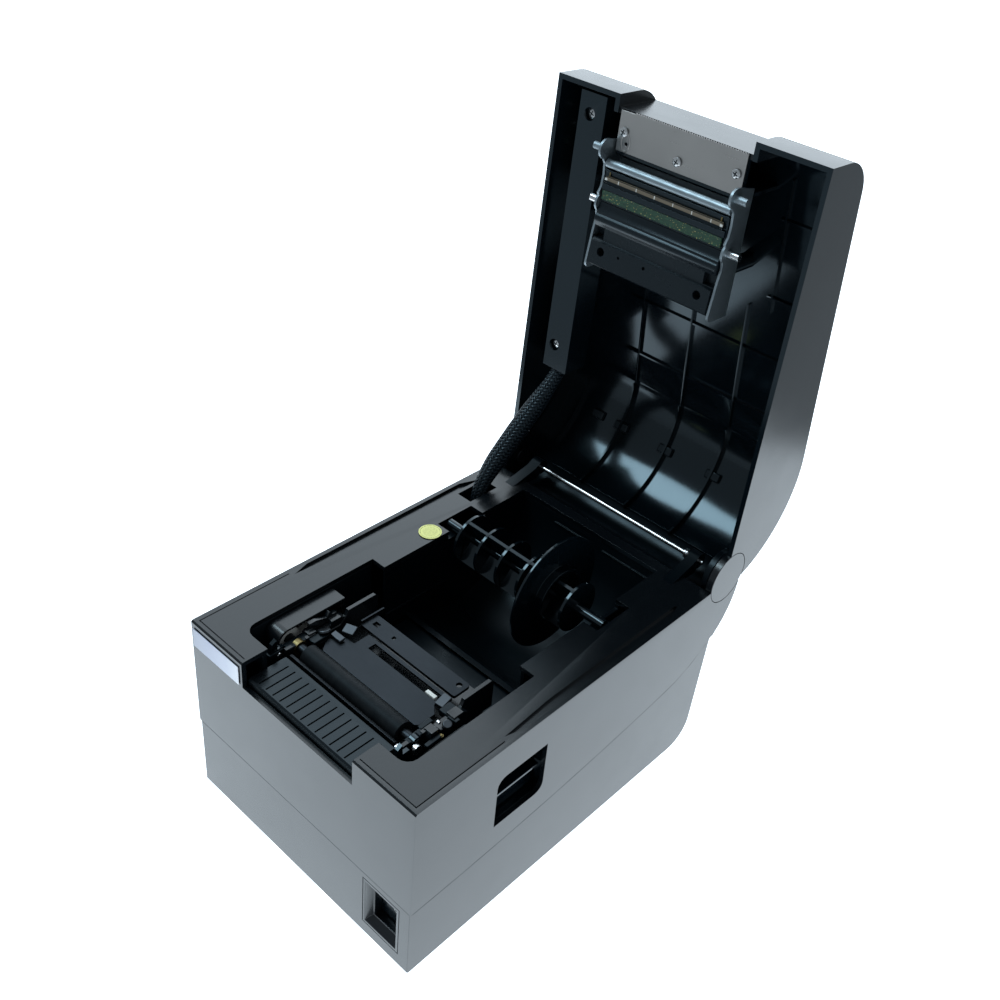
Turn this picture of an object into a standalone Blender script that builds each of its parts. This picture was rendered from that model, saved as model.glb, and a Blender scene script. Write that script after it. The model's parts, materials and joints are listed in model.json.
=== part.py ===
"""Two-inch thermal receipt printer with its lid open: casings, paper path, print head and hinge.

Design frame, in millimetres: X to the printer's right, Y from the front face towards the back,
Z up from the underside of the lower case. The empty "printer" carries that frame to the model's
origin, which is the middle of the footprint on the table, and turns millimetres into metres.
"""
import math

import bmesh
import bpy
from mathutils import Matrix, Vector

# ---- driving dimensions (mm) ----
WIDTH = 150.0
HALF = WIDTH / 2
DECK_Z = 106.1                 # top of the upper case
WALL = 2.5                     # moulded wall thickness
FOOT_STAND = 1.5               # how far the rubber feet stand out below the lower case
GAP = 0.3                      # clearance between touching pieces

HINGE_Y, HINGE_Z = 212.0, 108.5
LID_OPEN_DEG = 92.7            # from closed to the open stop
CAP_R = 14.0                   # round hinge caps on both sides
BARREL_IN, BARREL_OUT = 11.9, 13.9
CLEAR_R = 14.3                 # everything in the case stays outside this radius of the hinge

LID_RIM_Z = DECK_Z + GAP
LID_FRONT_R = 18.0             # round front edge of the lid
LID_FRONT_ARC_Z = 121.5
LID_SLOPE_DEG = 7.2
LID_REAR_R = 55.0              # big round back of the lid, over the paper roll
LID_REAR_Y = 165.0
EXIT_WALL_Y = 8.5              # inner face of the lid's front wall over the paper exit
RIB_DEPTH, RIB_END_DEG = 2.8, 17.0
BARREL_END_DEG = -38.0         # the barrel's free edge, seen along the hinge from its right

SEAM_FRONT_Z = 42.4
SIDE_INSET, FRONT_INSET = 0.8, 0.3   # the lower case stands back from the upper case by these
HUMP_R, HUMP_Y, HUMP_Z = 42.5, 181.5, 103.0

NOTCH_HALF, NOTCH_Z = 37.2, 91.5          # paper exit in the front wall
BAY_HALF, BAY_Y0, BAY_Y1 = 54.5, 14.2, 90.5
BIN_HALF, BIN_Y0, BIN_Y1, BIN_LIP_Z = 45.8, 91.5, 191.5, 66.0
SPINDLE_Y, SPINDLE_Z = 142.0, 103.8
BIN_R = 50.0
CORE_R, FLANGE_R, FLANGE_X = 13.2, 30.5, 20.0
STUB_R, STUB_END = 2.6, 52.5
BEARING_Z = SPINDLE_Z - STUB_R - GAP        # the ledges that the spindle's stubs lie on
RING_START, RING_PITCH, RING_COUNT = -36.0, 14.2, 6
SPINDLE_RIBS_DEG = (108.0, 228.0, 348.0)

PLATEN_Y, PLATEN_Z, PLATEN_R, PLATEN_HALF = 32.7, 94.5, 5.2, 32.0
SHAFT_R = 2.5
MODULE = 0.6
PLATEN_TEETH, IDLER_TEETH, PINION_TEETH = 19, 44, 12
MOTOR_Y = 57.0
CHEEK_IN, CHEEK_OUT = 38.2, 40.2
PIN_R, FRONT_STUD_Y, REAR_PIN_Y = 1.9, 24.5, 50.5
FRONT_STUD_Z, REAR_PIN_Z = 100.8, 104.2
LATCH_Y, LATCH_Z = 19.5, 78.0
ROCKER_TILT_DEG = 10.0

BUTTON_X, BUTTON_Y, LIGHT_Y = -55.0, 28.0, 42.0
WINDOW_Y0, WINDOW_Y1, WINDOW_Z0, WINDOW_Z1 = 48.2, 79.5, 57.9, 87.3
SWITCH_X0, SWITCH_X1, SWITCH_Z0, SWITCH_Z1 = 44.4, 68.0, 8.0, 38.6
SLEEVE_R = 4.3
NAME_PLATE_T = 0.25

PORTS = {"dc_jack": (-52.0, -40.0, 14.0, 25.0), "usb_port": (-22.0, -10.0, 13.5, 25.5),
         "drawer_port": (8.0, 23.5, 12.5, 27.0)}         # low x, high x, low z, high z
FOOT_R = 6.0
FOOT_PLACES = [(x, y) for y in (18.0, 176.0) for x in (-60.0, 60.0)]
SEAM_YS = (0.0, 30.0, 60.0, 90.0, 120.0, 145.0, 165.0, 181.0, 190.0, 200.0, 208.0)
GROOVE_IN, GROOVE_W, GROOVE_END = 2.6, 0.5, 53.0
GROOVES = [(-HALF + GROOVE_IN, -NOTCH_HALF - 1.5, GROOVE_IN, GROOVE_IN + GROOVE_W),
           (NOTCH_HALF + 1.5, HALF - GROOVE_IN, GROOVE_IN, GROOVE_IN + GROOVE_W),
           (-HALF + GROOVE_IN, -HALF + GROOVE_IN + GROOVE_W, GROOVE_IN, GROOVE_END),
           (HALF - GROOVE_IN - GROOVE_W, HALF - GROOVE_IN, GROOVE_IN, GROOVE_END)]
ROCKER_PIVOT_Y = 11.6
BRACKET_POSTS = [(-26.0, 66.0), (26.0, 66.0)]
COVER_SCREWS = [(-54.5, 14.4), (-55.4, 136.6)]
TEAR_SCREWS = [(-31.4, 15.9), (0.2, 20.3), (31.4, 15.9)]
# The sleeve's middle line, with its thickness there as a share of SLEEVE_R.
SLEEVE_POINTS = [(-61.6, 171.0, 97.0), (-61.6, 172.0, 104.0), (-61.2, 175.5, 112.0), (-60.4, 182.0, 121.0),
                 (-59.2, 190.5, 131.0), (-57.8, 199.0, 141.0), (-56.2, 207.5, 151.0), (-54.6, 214.6, 160.5),
                 (-53.4, 219.8, 169.5), (-53.0, 222.0, 178.0)]
SLEEVE_SWELL = (1.0, 1.0, 1.15, 1.35, 1.4, 1.4, 1.3, 1.1, 0.97, 0.97)

MM = 0.001


# ---- scene and helpers ----
for old in list(bpy.data.objects):
    bpy.data.objects.remove(old, do_unlink=True)

parts = bpy.data.collections.new("receipt_printer")
cutters = bpy.data.collections.new("cutters")
for group in (parts, cutters):
    bpy.context.scene.collection.children.link(group)


def polar(y, z, r, degrees):
    a = math.radians(degrees)
    return (y + r * math.cos(a), z + r * math.sin(a))


def arc(y, z, r, start, end, count):
    return [polar(y, z, r, start + (end - start) * i / count) for i in range(count + 1)]


def seam_z(y):
    """The joint between the two cases climbs gently to the back, then sweeps up."""
    return SEAM_FRONT_Z + 14.0 * (y / 181.0) ** 2 + 10.0 * (max(0.0, y - 175.0) / 33.0) ** 2


def hump_y(z, inset=0.0):
    return HUMP_Y + math.sqrt((HUMP_R - inset) ** 2 - (z - HUMP_Z) ** 2)


def rear_wall_y(z):
    return 205.3 + 3.4 * (z - 15.0) / 53.0


def lid_outline(inset, count=10):
    """Front, top and back of the lid at a distance inside its outer surface, front rim first."""
    slope = math.radians(LID_SLOPE_DEG)
    r1, r2 = LID_FRONT_R - inset, LID_REAR_R - inset
    rise = LID_FRONT_R * math.cos(slope)
    top_y = LID_FRONT_R - LID_FRONT_R * math.sin(slope)
    line_at_rear = LID_FRONT_ARC_Z + rise + (LID_REAR_Y - top_y) * math.tan(slope)
    rear_z = line_at_rear - LID_REAR_R / math.cos(slope)
    front = arc(LID_FRONT_R, LID_FRONT_ARC_Z, r1, 180.0, 90.0 + LID_SLOPE_DEG, count)
    limit = BARREL_OUT - inset
    end = 60.0
    while math.dist(polar(LID_REAR_Y, rear_z, r2, end), (HINGE_Y, HINGE_Z)) > limit:
        end -= 0.1
    rear = arc(LID_REAR_Y, rear_z, r2, 90.0 + LID_SLOPE_DEG, end, 2 * count)
    return [(inset, LID_RIM_Z)] + front + rear, rear_z


def opened(y, z):
    """A point of the closed lid, turned to where it is on the open lid."""
    a = math.radians(LID_OPEN_DEG)
    dy, dz = y - HINGE_Y, z - HINGE_Z
    return (HINGE_Y + dy * math.cos(a) + dz * math.sin(a), HINGE_Z - dy * math.sin(a) + dz * math.cos(a))


DEPTH_OPEN = max(opened(y, z)[0] for y, z in lid_outline(0.0)[0])
ORIGIN_Y = (DEPTH_OPEN - NAME_PLATE_T - GAP) / 2

printer = bpy.data.objects.new("printer", None)
lid_pivot = bpy.data.objects.new("lid_pivot", None)
for empty in (printer, lid_pivot):
    parts.objects.link(empty)
printer.location = (0.0, -ORIGIN_Y * MM, FOOT_STAND * MM)
lid_pivot.parent = printer
lid_pivot.location = (0.0, HINGE_Y * MM, HINGE_Z * MM)
lid_pivot.rotation_euler.x = -math.radians(LID_OPEN_DEG)
LID_HOME = (0.0, HINGE_Y, HINGE_Z)

MATERIALS = {}


def material(name, colour, roughness, metallic=0.0):
    if name not in MATERIALS:
        mat = bpy.data.materials.new(name)
        mat.use_nodes = True
        shader = mat.node_tree.nodes["Principled BSDF"]
        shader.inputs["Base Color"].default_value = (*colour, 1.0)
        shader.inputs["Roughness"].default_value = roughness
        shader.inputs["Metallic"].default_value = metallic
        MATERIALS[name] = mat
    return MATERIALS[name]


PLASTIC = ("case_plastic", (0.045, 0.048, 0.052), 0.45)
GLOSS = ("bin_plastic", (0.008, 0.011, 0.014), 0.18)
WELL = ("well_plastic", (0.006, 0.008, 0.010), 0.35)
STEEL = ("bright_steel", (0.62, 0.63, 0.64), 0.25, 1.0)
PLATE = ("plate_steel", (0.24, 0.25, 0.26), 0.42, 1.0)
BRASS = ("brass", (0.55, 0.43, 0.20), 0.35, 1.0)
RUBBER = ("rubber", (0.012, 0.012, 0.013), 0.75)
NYLON = ("white_nylon", (0.72, 0.72, 0.68), 0.5)
BOARD = ("circuit_board", (0.03, 0.12, 0.06), 0.55)
CERAMIC = ("ceramic", (0.40, 0.33, 0.22), 0.35)
LABEL = ("label", (0.80, 0.81, 0.83), 0.5)
STICKER = ("sticker", (0.85, 0.84, 0.32), 0.5)
LENS = ("light_pipe", (0.35, 0.55, 0.36), 0.2)
BRAID = ("braid", (0.02, 0.03, 0.045), 0.6)


def add(name, bm, mat, home=(0.0, 0.0, 0.0), on_lid=False, smooth=None):
    """Puts a bmesh, drawn in the design frame in mm, in the model with its origin at home."""
    bmesh.ops.recalc_face_normals(bm, faces=bm.faces)
    bm.transform(Matrix.Scale(MM, 4) @ Matrix.Translation(-Vector(home)))
    mesh = bpy.data.meshes.new(name)
    bm.to_mesh(mesh)
    bm.free()
    obj = bpy.data.objects.new(name, mesh)
    parts.objects.link(obj)
    anchor = LID_HOME if on_lid else (0.0, 0.0, 0.0)
    obj.parent = lid_pivot if on_lid else printer
    obj.location = (Vector(home) - Vector(anchor)) * MM
    mesh.materials.append(material(*mat))
    if smooth:
        mesh.shade_smooth()
        mesh.set_sharp_from_angle(angle=math.radians(smooth))
    return obj


def box(x0, x1, y0, y1, z0, z1, bevel=0.0):
    bm = bmesh.new()
    bmesh.ops.create_cube(bm, size=1.0)
    bm.transform(Matrix.Translation(((x0 + x1) / 2, (y0 + y1) / 2, (z0 + z1) / 2))
                 @ Matrix.Diagonal((x1 - x0, y1 - y0, z1 - z0, 1.0)))
    if bevel:
        bmesh.ops.bevel(bm, geom=bm.edges[:], offset=bevel, segments=2, affect="EDGES", profile=0.5)
    return bm


def extrude(points, along, low, high):
    """A closed outline, in the two axes other than the one named, made solid between low and high."""
    place = {
        "X": lambda a, b, c: (c, a, b),
        "Y": lambda a, b, c: (a, c, b),
        "Z": lambda a, b, c: (a, b, c),
    }[along]
    bm = bmesh.new()
    face = bm.faces.new([bm.verts.new(place(a, b, low)) for a, b in points])
    grown = bmesh.ops.extrude_face_region(bm, geom=[face])
    shift = Vector(place(0.0, 0.0, high - low))
    moved = [v for v in grown["geom"] if isinstance(v, bmesh.types.BMVert)]
    bmesh.ops.translate(bm, vec=shift, verts=moved)
    return bm


def rod(axis, a, b, r, low, high, sides=24):
    """A cylinder along X, Y or Z; a and b are its centre in the other two axes."""
    bm = bmesh.new()
    bmesh.ops.create_cone(bm, cap_ends=True, segments=sides, radius1=r, radius2=r, depth=high - low)
    bm.transform(Matrix.Rotation(math.pi / sides, 4, "Z"))
    middle = (low + high) / 2
    if axis == "X":
        bm.transform(Matrix.Translation((middle, a, b)) @ Matrix.Rotation(math.pi / 2, 4, "Y"))
    elif axis == "Y":
        bm.transform(Matrix.Translation((a, middle, b)) @ Matrix.Rotation(math.pi / 2, 4, "X"))
    else:
        bm.transform(Matrix.Translation((a, b, middle)))
    return bm


def rounded(x0, x1, y0, y1, radii, count=4):
    """A rectangle with its own radius at each corner: low-low, high-low, high-high, low-high."""
    corners = [(x0, y0, 1, 1, 180), (x1, y0, -1, 1, 270), (x1, y1, -1, -1, 0), (x0, y1, 1, -1, 90)]
    points = []
    for (x, y, sx, sy, start), r in zip(corners, radii):
        points += arc(x + sx * r, y + sy * r, r, start, start + 90, count) if r else [(x, y)]
    return points


def shape(target, bm, operation):
    """Cuts a bmesh from an object, or joins it on, with an exact boolean."""
    tool = add(target.name + "_tool", bm, PLASTIC)
    tool.data.materials.clear()
    parts.objects.unlink(tool)
    cutters.objects.link(tool)
    tool.hide_render = True
    tool.display_type = "WIRE"
    if target.parent is lid_pivot:
        tool.parent = lid_pivot
        tool.location = -Vector(LID_HOME) * MM
    step = target.modifiers.new(operation.lower(), "BOOLEAN")
    step.operation = operation
    step.solver = "EXACT"
    step.object = tool
    return target


def cut(target, bm):
    return shape(target, bm, "DIFFERENCE")


def join(target, bm):
    return shape(target, bm, "UNION")


def gear(x0, x1, y, z, teeth, turn, bore):
    """A spur gear along X; turn is the angle of one tooth's middle, in degrees."""
    pitch_r = MODULE * teeth / 2
    tip, root = pitch_r + 0.45 * MODULE, pitch_r - 0.75 * MODULE
    step = 360.0 / teeth
    points = []
    for i in range(teeth):
        middle = turn + i * step
        for r, part in ((root, -0.30), (tip, -0.13), (tip, 0.13), (root, 0.30)):
            points.append(polar(y, z, r, middle + part * step))
    return extrude(points, "X", x0, x1), rod("X", y, z, bore, x0 - 1, x1 + 1, 16)


# ---- cases ----
def lower_case():
    side, front = HALF - SIDE_INSET, FRONT_INSET
    seam = [(y, seam_z(y) - GAP / 2) for y in SEAM_YS[:0:-1]]
    back = arc(190.3, 15.0, 15.0, -90.0, 0.0, 8)
    outline = [(front + 1.0, 0.0)] + back + [(rear_wall_y(seam[0][1]), seam[0][1])]
    outline += seam + [(front, seam_z(front) - GAP / 2), (front, 1.0)]
    obj = add("lower_case", extrude(outline, "X", -side, side), PLASTIC, smooth=30)
    hollow = [(front + WALL, WALL)] + arc(190.3, 15.0, 15.0 - WALL, -90.0, 0.0, 6)
    hollow += [(rear_wall_y(75.0) - WALL, 90.0), (front + WALL, 90.0)]
    cut(obj, extrude(hollow, "X", -side + WALL, side - WALL))
    cut(obj, box(SWITCH_X0, SWITCH_X1, -1.0, 6.0, SWITCH_Z0, SWITCH_Z1))
    for x0, x1, z0, z1 in PORTS.values():
        cut(obj, box(x0 - GAP, x1 + GAP, 198.0, 212.0, z0 - GAP, z1 + GAP))
    for x, y in FOOT_PLACES:
        cut(obj, rod("Z", x, y, FOOT_R + GAP, -1.0, 1.0, 24))
    return obj


def upper_case():
    seam = [(y, seam_z(y) + GAP / 2) for y in SEAM_YS]
    hump_start = seam[-1][1] + 0.2
    hump = [(hump_y(z), z) for z in (hump_start + (HUMP_Z - hump_start) * i / 8 for i in range(9))]
    top = [(224.0, DECK_Z), (0.8, DECK_Z), (0.0, DECK_Z - 0.8)]
    obj = add("upper_case", extrude(seam + hump + top, "X", -HALF, HALF), PLASTIC, smooth=30)
    ceiling, keep_out = DECK_Z - WALL, CLEAR_R + 2.0
    start = 180.0 + math.degrees(math.asin((HINGE_Z - ceiling) / keep_out))
    inner = [(WALL, 30.0), (205.0, 30.0), (hump_y(hump_start, WALL), hump_start)]
    inner += [(hump_y(z, WALL), z) for z in (76.0, 82.0, 88.0, 92.0)]
    inner += arc(HINGE_Y, HINGE_Z, keep_out, 299.0, start, 10) + [(WALL, ceiling)]
    cut(obj, extrude(inner, "X", -HALF + WALL, HALF - WALL))
    cut(obj, rod("X", HINGE_Y, HINGE_Z, CLEAR_R, -HALF - 1, HALF + 1, 64))
    cut(obj, extrude(rounded(-BAY_HALF, BAY_HALF, BAY_Y0, BAY_Y1, (6.0, 6.0, 0, 0)), "Z", 95.0, 120.0))
    cut(obj, box(-BIN_HALF, BIN_HALF, BAY_Y1 - 1.0, BIN_Y1, 95.0, 120.0))
    cut(obj, box(-NOTCH_HALF, NOTCH_HALF, -1.0, BAY_Y0 + 1.0, NOTCH_Z, 120.0))
    for side in (-1, 1):
        pocket = sorted((side * (BIN_HALF - 1.0), side * 54.2))
        cut(obj, box(*pocket, 134.5, 158.8, 95.0, 120.0))
        trough = [(70.2, 55.0), (72.6, 64.0), (72.6, 168.0), (69.0, 178.0), (68.4, 176.0), (68.4, 84.0)]
        cut(obj, extrude([(side * x, y) for x, y in trough], "Z", DECK_Z - 1.6, 120.0))
        arm = [(188.0, DECK_Z - WALL - 0.1), (208.0, 103.0)] + arc(HINGE_Y, HINGE_Z, 4.2, -120.0, 120.0, 12)
        arm += [(206.0, 110.0), (188.0, DECK_Z - 0.1)]
        join(obj, extrude(arm, "X", *sorted((side * 51.6, side * 57.6))))
    cut(obj, rod("X", HINGE_Y, HINGE_Z, 1.6, -60.0, 60.0, 20))
    cut(obj, box(-66.4, -56.9, 161.0, 181.0, 95.0, 120.0))
    for x0, x1, y0, y1 in GROOVES:
        cut(obj, box(x0, x1, y0, y1, DECK_Z - 0.7, DECK_Z + 1.0))
    window = rounded(WINDOW_Y0, WINDOW_Y1, WINDOW_Z0, WINDOW_Z1, (0, 5.0, 0, 5.0))
    cut(obj, extrude(window, "X", HALF - WALL - 1.0, HALF + 1.0))
    return obj


def feet():
    for n, (x, y) in enumerate(FOOT_PLACES, 1):
        pad = rod("Z", x, y, FOOT_R, -FOOT_STAND, 1.0 - GAP, 24)
        add(f"foot_{n}", pad, RUBBER, home=(x, y, 0.0), smooth=40)


def mechanism_bay():
    """The open-topped well round the mechanism, open at the back to the roll bin."""
    obj = add("mechanism_bay", box(-57.0, 57.0, 11.5, 90.2, 62.0, DECK_Z - WALL - GAP), WELL)
    cut(obj, box(-BAY_HALF, BAY_HALF, 13.8, 120.0, 64.0, 120.0))
    cut(obj, box(-NOTCH_HALF, NOTCH_HALF, 5.0, 20.0, 88.0, 120.0))
    cut(obj, box(-BAY_HALF + 0.5, -16.0, 22.0, 82.0, 60.0, 66.0))
    join(obj, box(-45.0, 45.0, 88.0, 106.4, 62.0, 64.0))
    return obj


def roll_bin():
    """The round well under the paper roll; only a low lip closes it towards the mechanism."""
    top, outer_r = DECK_Z - WALL - GAP, BIN_R + 2.2
    lip_out = math.degrees(math.asin((SPINDLE_Z - BIN_LIP_Z) / outer_r))
    lip_in = math.degrees(math.asin((SPINDLE_Z - BIN_LIP_Z) / BIN_R))
    outline = arc(SPINDLE_Y, SPINDLE_Z, outer_r, 180.0 + lip_out, 360.0, 28)
    outline += [(SPINDLE_Y + outer_r, top), (BIN_Y0, top), (BIN_Y0, BIN_LIP_Z)]
    obj = add("roll_bin", extrude(outline, "X", -BIN_HALF - 2.0, BIN_HALF + 2.0), WELL, smooth=30)
    space = arc(SPINDLE_Y, SPINDLE_Z, BIN_R, 180.0 + lip_in, 356.0, 28)
    space += [(SPINDLE_Y + BIN_R - 0.2, 130.0), (80.0, 130.0), (80.0, BIN_LIP_Z)]
    cut(obj, extrude(space, "X", -BIN_HALF, BIN_HALF))
    for side in (-1, 1):
        slot = sorted((side * (BIN_HALF - 1.0), side * (BIN_HALF + 3.0)))
        cut(obj, box(*slot, 134.5, 158.8, BEARING_Z, 120.0))
        join(obj, box(*sorted((side * (BIN_HALF + 1.0), side * 54.0)), 135.5, 148.5, 96.0, BEARING_Z))
    join(obj, box(-BIN_HALF - 1.0, -BIN_HALF + 0.8, BIN_Y0 + 0.5, 134.0, 74.2, 75.0))
    for x0, x1 in ((-22.0, -4.0), (11.0, 41.0)):
        join(obj, box(x0, x1, 190.8, 193.0, 97.6, 98.3))
    return obj


def latch_housing():
    obj = add("latch_housing", box(60.0, HALF - WALL - GAP, 45.5, 82.0, 55.5, 90.0), GLOSS)
    cut(obj, box(62.0, 80.0, 47.5, 80.2, 57.2, 88.2))
    cut(obj, box(58.0, 64.0, 60.0, 66.0, 68.0, 76.0))
    return obj


def release_slider():
    z0, z1 = 58.6, 81.0
    plate = [(64.5, z0), (68.6, z0), (66.9, 70.2), (71.6, 71.2)]
    plate += [(71.6, 72.6), (66.9, 73.4), (66.9, z1), (64.5, z1)]
    return add("release_slider", extrude(plate, "Y", 48.6, 79.0), GLOSS, home=(66.0, 64.0, 70.0))


def exit_tray():
    """The ribbed slope under the paper exit; its last groove is only a short one."""
    z, front, back, half = 95.5, 3.1, 23.6, NOTCH_HALF - 0.4
    outline = [(front, 89.0), (back, 90.0), (back, z), (front + 0.8, z), (front, z - 0.8)]
    obj = add("exit_tray", extrude(outline, "X", -half, half), PLASTIC)
    count, pitch, first = 14, 4.83, -31.2
    for i in range(count):
        x = first + pitch * i
        start = 4.6 if i < count - 1 else 15.5
        cut(obj, box(x - 0.4, x + 0.4, start, 20.8, z - 1.2, z + 1.0))
    return obj


def deck_trim():
    plate = [(-73.3, 92.2), (-39.2, 92.2), (-39.2, 102.8), (-73.3, 102.8)]
    add("name_plate", extrude(plate, "Y", -NAME_PLATE_T - GAP, -GAP), LABEL)
    add("inspection_sticker", rod("Z", -51.6, 126.6, 6.0, DECK_Z + GAP, DECK_Z + GAP + 0.15, 32), STICKER)


# ---- printing mechanism in the case ----
def mechanism_frame():
    """Two cheeks on a plate; a block outside each cheek holds the ends of the paper guides."""
    obj = add("mechanism_frame", box(-CHEEK_OUT, CHEEK_OUT, 25.0, 80.0, 84.0, 86.0), PLASTIC)
    for side in (-1, 1):
        low = 50.0 if side < 0 else 84.0
        cheek = [(25.0, low), (80.0, low), (80.0, 99.0), (78.5, 100.4), (61.5, 100.4)]
        cheek += [(60.5, 98.0), (57.0, 94.0), (45.0, 94.0), (42.0, 97.5), (25.0, 97.5)]
        join(obj, extrude(cheek, "X", *sorted((side * CHEEK_IN, side * CHEEK_OUT))))
        slot = arc(PLATEN_Y, PLATEN_Z, 3.9, -180.0, 0.0, 12)
        slot += [(PLATEN_Y + 3.9, 101.0), (PLATEN_Y - 3.9, 101.0)]
        cut(obj, extrude(slot, "X", *sorted((side * 36.0, side * 42.0))))
        block = [(37.6, 90.0), (60.0, 90.0), (60.0, 97.0), (57.5, 98.4), (52.0, 98.4)]
        block += [(51.0, 96.6), (44.0, 96.6), (42.6, 98.4), (38.6, 98.4), (37.6, 96.0)]
        join(obj, extrude(block, "X", *sorted((side * (CHEEK_IN + 0.5), side * 43.6))))
    cut(obj, rod("X", MOTOR_Y, MOTOR_Z, 4.0, -42.0, -36.0, 20))
    lever = [(41.0, 97.0), (57.0, 97.0), (57.0, 100.0), (54.6, 100.0)]
    lever += [(52.8, 102.2), (50.8, 99.6), (45.0, 101.6), (41.0, 101.6)]
    join(obj, extrude(lever, "X", -43.6, -41.4))
    join(obj, rod("X", IDLER_Y, IDLER_Z, 1.5, -52.0, -CHEEK_IN - 1.0, 16))
    join(obj, rod("X", IDLER_Y, IDLER_Z, 3.0, -44.0, -CHEEK_IN - 1.0, 16))
    return obj


def platen_bushes():
    for name, side, mat in (("platen_bush_left", -1, BRASS), ("platen_bush_right", 1, GLOSS)):
        low, high = sorted((side * 37.7, side * 40.8))
        obj = add(name, rod("X", PLATEN_Y, PLATEN_Z, 3.6, low, high, 24), mat, smooth=40)
        cut(obj, rod("X", PLATEN_Y, PLATEN_Z, SHAFT_R + 0.06, low - 1, high + 1, 48))


def platen():
    home = (0.0, PLATEN_Y, PLATEN_Z)
    add("platen_shaft", rod("X", PLATEN_Y, PLATEN_Z, SHAFT_R, -51.5, 41.4, 48), PLATE, home, smooth=40)
    roller = rod("X", PLATEN_Y, PLATEN_Z, PLATEN_R, -PLATEN_HALF, PLATEN_HALF, 48)
    rubber = add("platen_roller", roller, RUBBER, home, smooth=40)
    cut(rubber, rod("X", PLATEN_Y, PLATEN_Z, SHAFT_R + GAP, -40, 40, 24))


# The gear train runs in a straight line from the platen down to the motor.
TRAIN_LENGTH = MODULE * (PLATEN_TEETH / 2 + IDLER_TEETH + PINION_TEETH / 2)
MOTOR_Z = PLATEN_Z - math.sqrt(TRAIN_LENGTH ** 2 - (MOTOR_Y - PLATEN_Y) ** 2)
TRAIN_DEG = math.degrees(math.atan2(MOTOR_Z - PLATEN_Z, MOTOR_Y - PLATEN_Y))
IDLER_Y, IDLER_Z = polar(PLATEN_Y, PLATEN_Z, MODULE * (PLATEN_TEETH + IDLER_TEETH) / 2, TRAIN_DEG)


def gear_train():
    body, bore = gear(-51.5, -46.5, PLATEN_Y, PLATEN_Z, PLATEN_TEETH, TRAIN_DEG, SHAFT_R + GAP)
    cut(add("platen_gear", body, NYLON, (0.0, PLATEN_Y, PLATEN_Z)), bore)
    half_tooth = 180.0 / IDLER_TEETH
    body, bore = gear(-51.0, -47.0, IDLER_Y, IDLER_Z, IDLER_TEETH, TRAIN_DEG + 180.0 + half_tooth, 1.8)
    cut(add("idler_gear", body, NYLON, (0.0, IDLER_Y, IDLER_Z)), bore)
    body, bore = gear(-51.0, -47.0, MOTOR_Y, MOTOR_Z, PINION_TEETH, TRAIN_DEG + 180.0, 1.0 + GAP)
    cut(add("motor_pinion", body, BRASS, (0.0, MOTOR_Y, MOTOR_Z)), bore)


def stepper_motor():
    body = rod("X", MOTOR_Y, MOTOR_Z, 14.0, -CHEEK_IN + GAP, -18.0, 40)
    obj = add("stepper_motor", body, PLATE, smooth=40)
    join(obj, rod("X", MOTOR_Y, MOTOR_Z, 1.0, -52.0, -30.0, 20))
    join(obj, rod("X", MOTOR_Y, MOTOR_Z, 3.2, -CHEEK_OUT, -30.0, 24))
    return obj


def gear_cover():
    top, round_r = 102.6, 6.0
    outline = [(24.6, 90.0)] + arc(24.6 + round_r, top - round_r, round_r, 180.0, 90.0, 6)
    outline += [(64.5, top), (64.5, 80.0), (50.0, 80.0), (50.0, 90.0)]
    obj = add("gear_cover", extrude(outline, "X", -53.9, -44.2), PLASTIC, smooth=30)
    inside = [(25.6, 70.0)] + arc(25.6 + round_r, top - 1.1 - round_r, round_r, 180.0, 90.0, 6)
    inside += [(63.4, top - 1.1), (63.4, 70.0)]
    cut(obj, extrude(inside, "X", -52.8, -43.0))
    return obj


def paper_path():
    """Flat pieces that the paper runs over between the roll and the platen."""
    sensor = [(-31.2, 40.8), (-29.6, 38.8), (32.6, 38.8), (34.0, 40.2), (34.0, 49.5), (29.8, 53.4)]
    sensor += [(29.8, 61.6), (-23.6, 61.6), (-23.6, 52.6), (-33.8, 52.0), (-33.8, 45.0)]
    plate = add("sensor_plate", extrude(sensor, "Z", 93.8, 95.0), PLATE)
    cut(plate, box(-16.7, 28.0, 55.3, 59.6, 90.0, 100.0))
    guide = rounded(-31.2, 32.4, 62.9, 73.3, (0.8, 0.8, 1.5, 1.5), 2)
    strip = add("guide_plate", extrude(guide, "Z", 93.8, 95.5), PLATE)
    cut(strip, box(-27.6, -24.2, 67.0, 69.8, 90.0, 100.0))
    cut(strip, box(-14.4, -12.6, 67.2, 69.2, 90.0, 100.0))
    cut(strip, rod("Z", 28.8, 69.6, 1.5, 90.0, 100.0, 20))
    join(strip, box(-31.9, -31.0, 63.6, 77.8, 94.0, 97.0))
    bar = [(24.6, 92.6), (26.3, 92.6), (26.3, 96.4), (24.6, 97.0)]
    add("front_guide_bar", extrude(bar, "X", -35.6, 35.6), PLATE)
    add("media_sensor", box(21.2, 27.2, 55.6, 57.6, 90.5, 95.4), NYLON)


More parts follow.
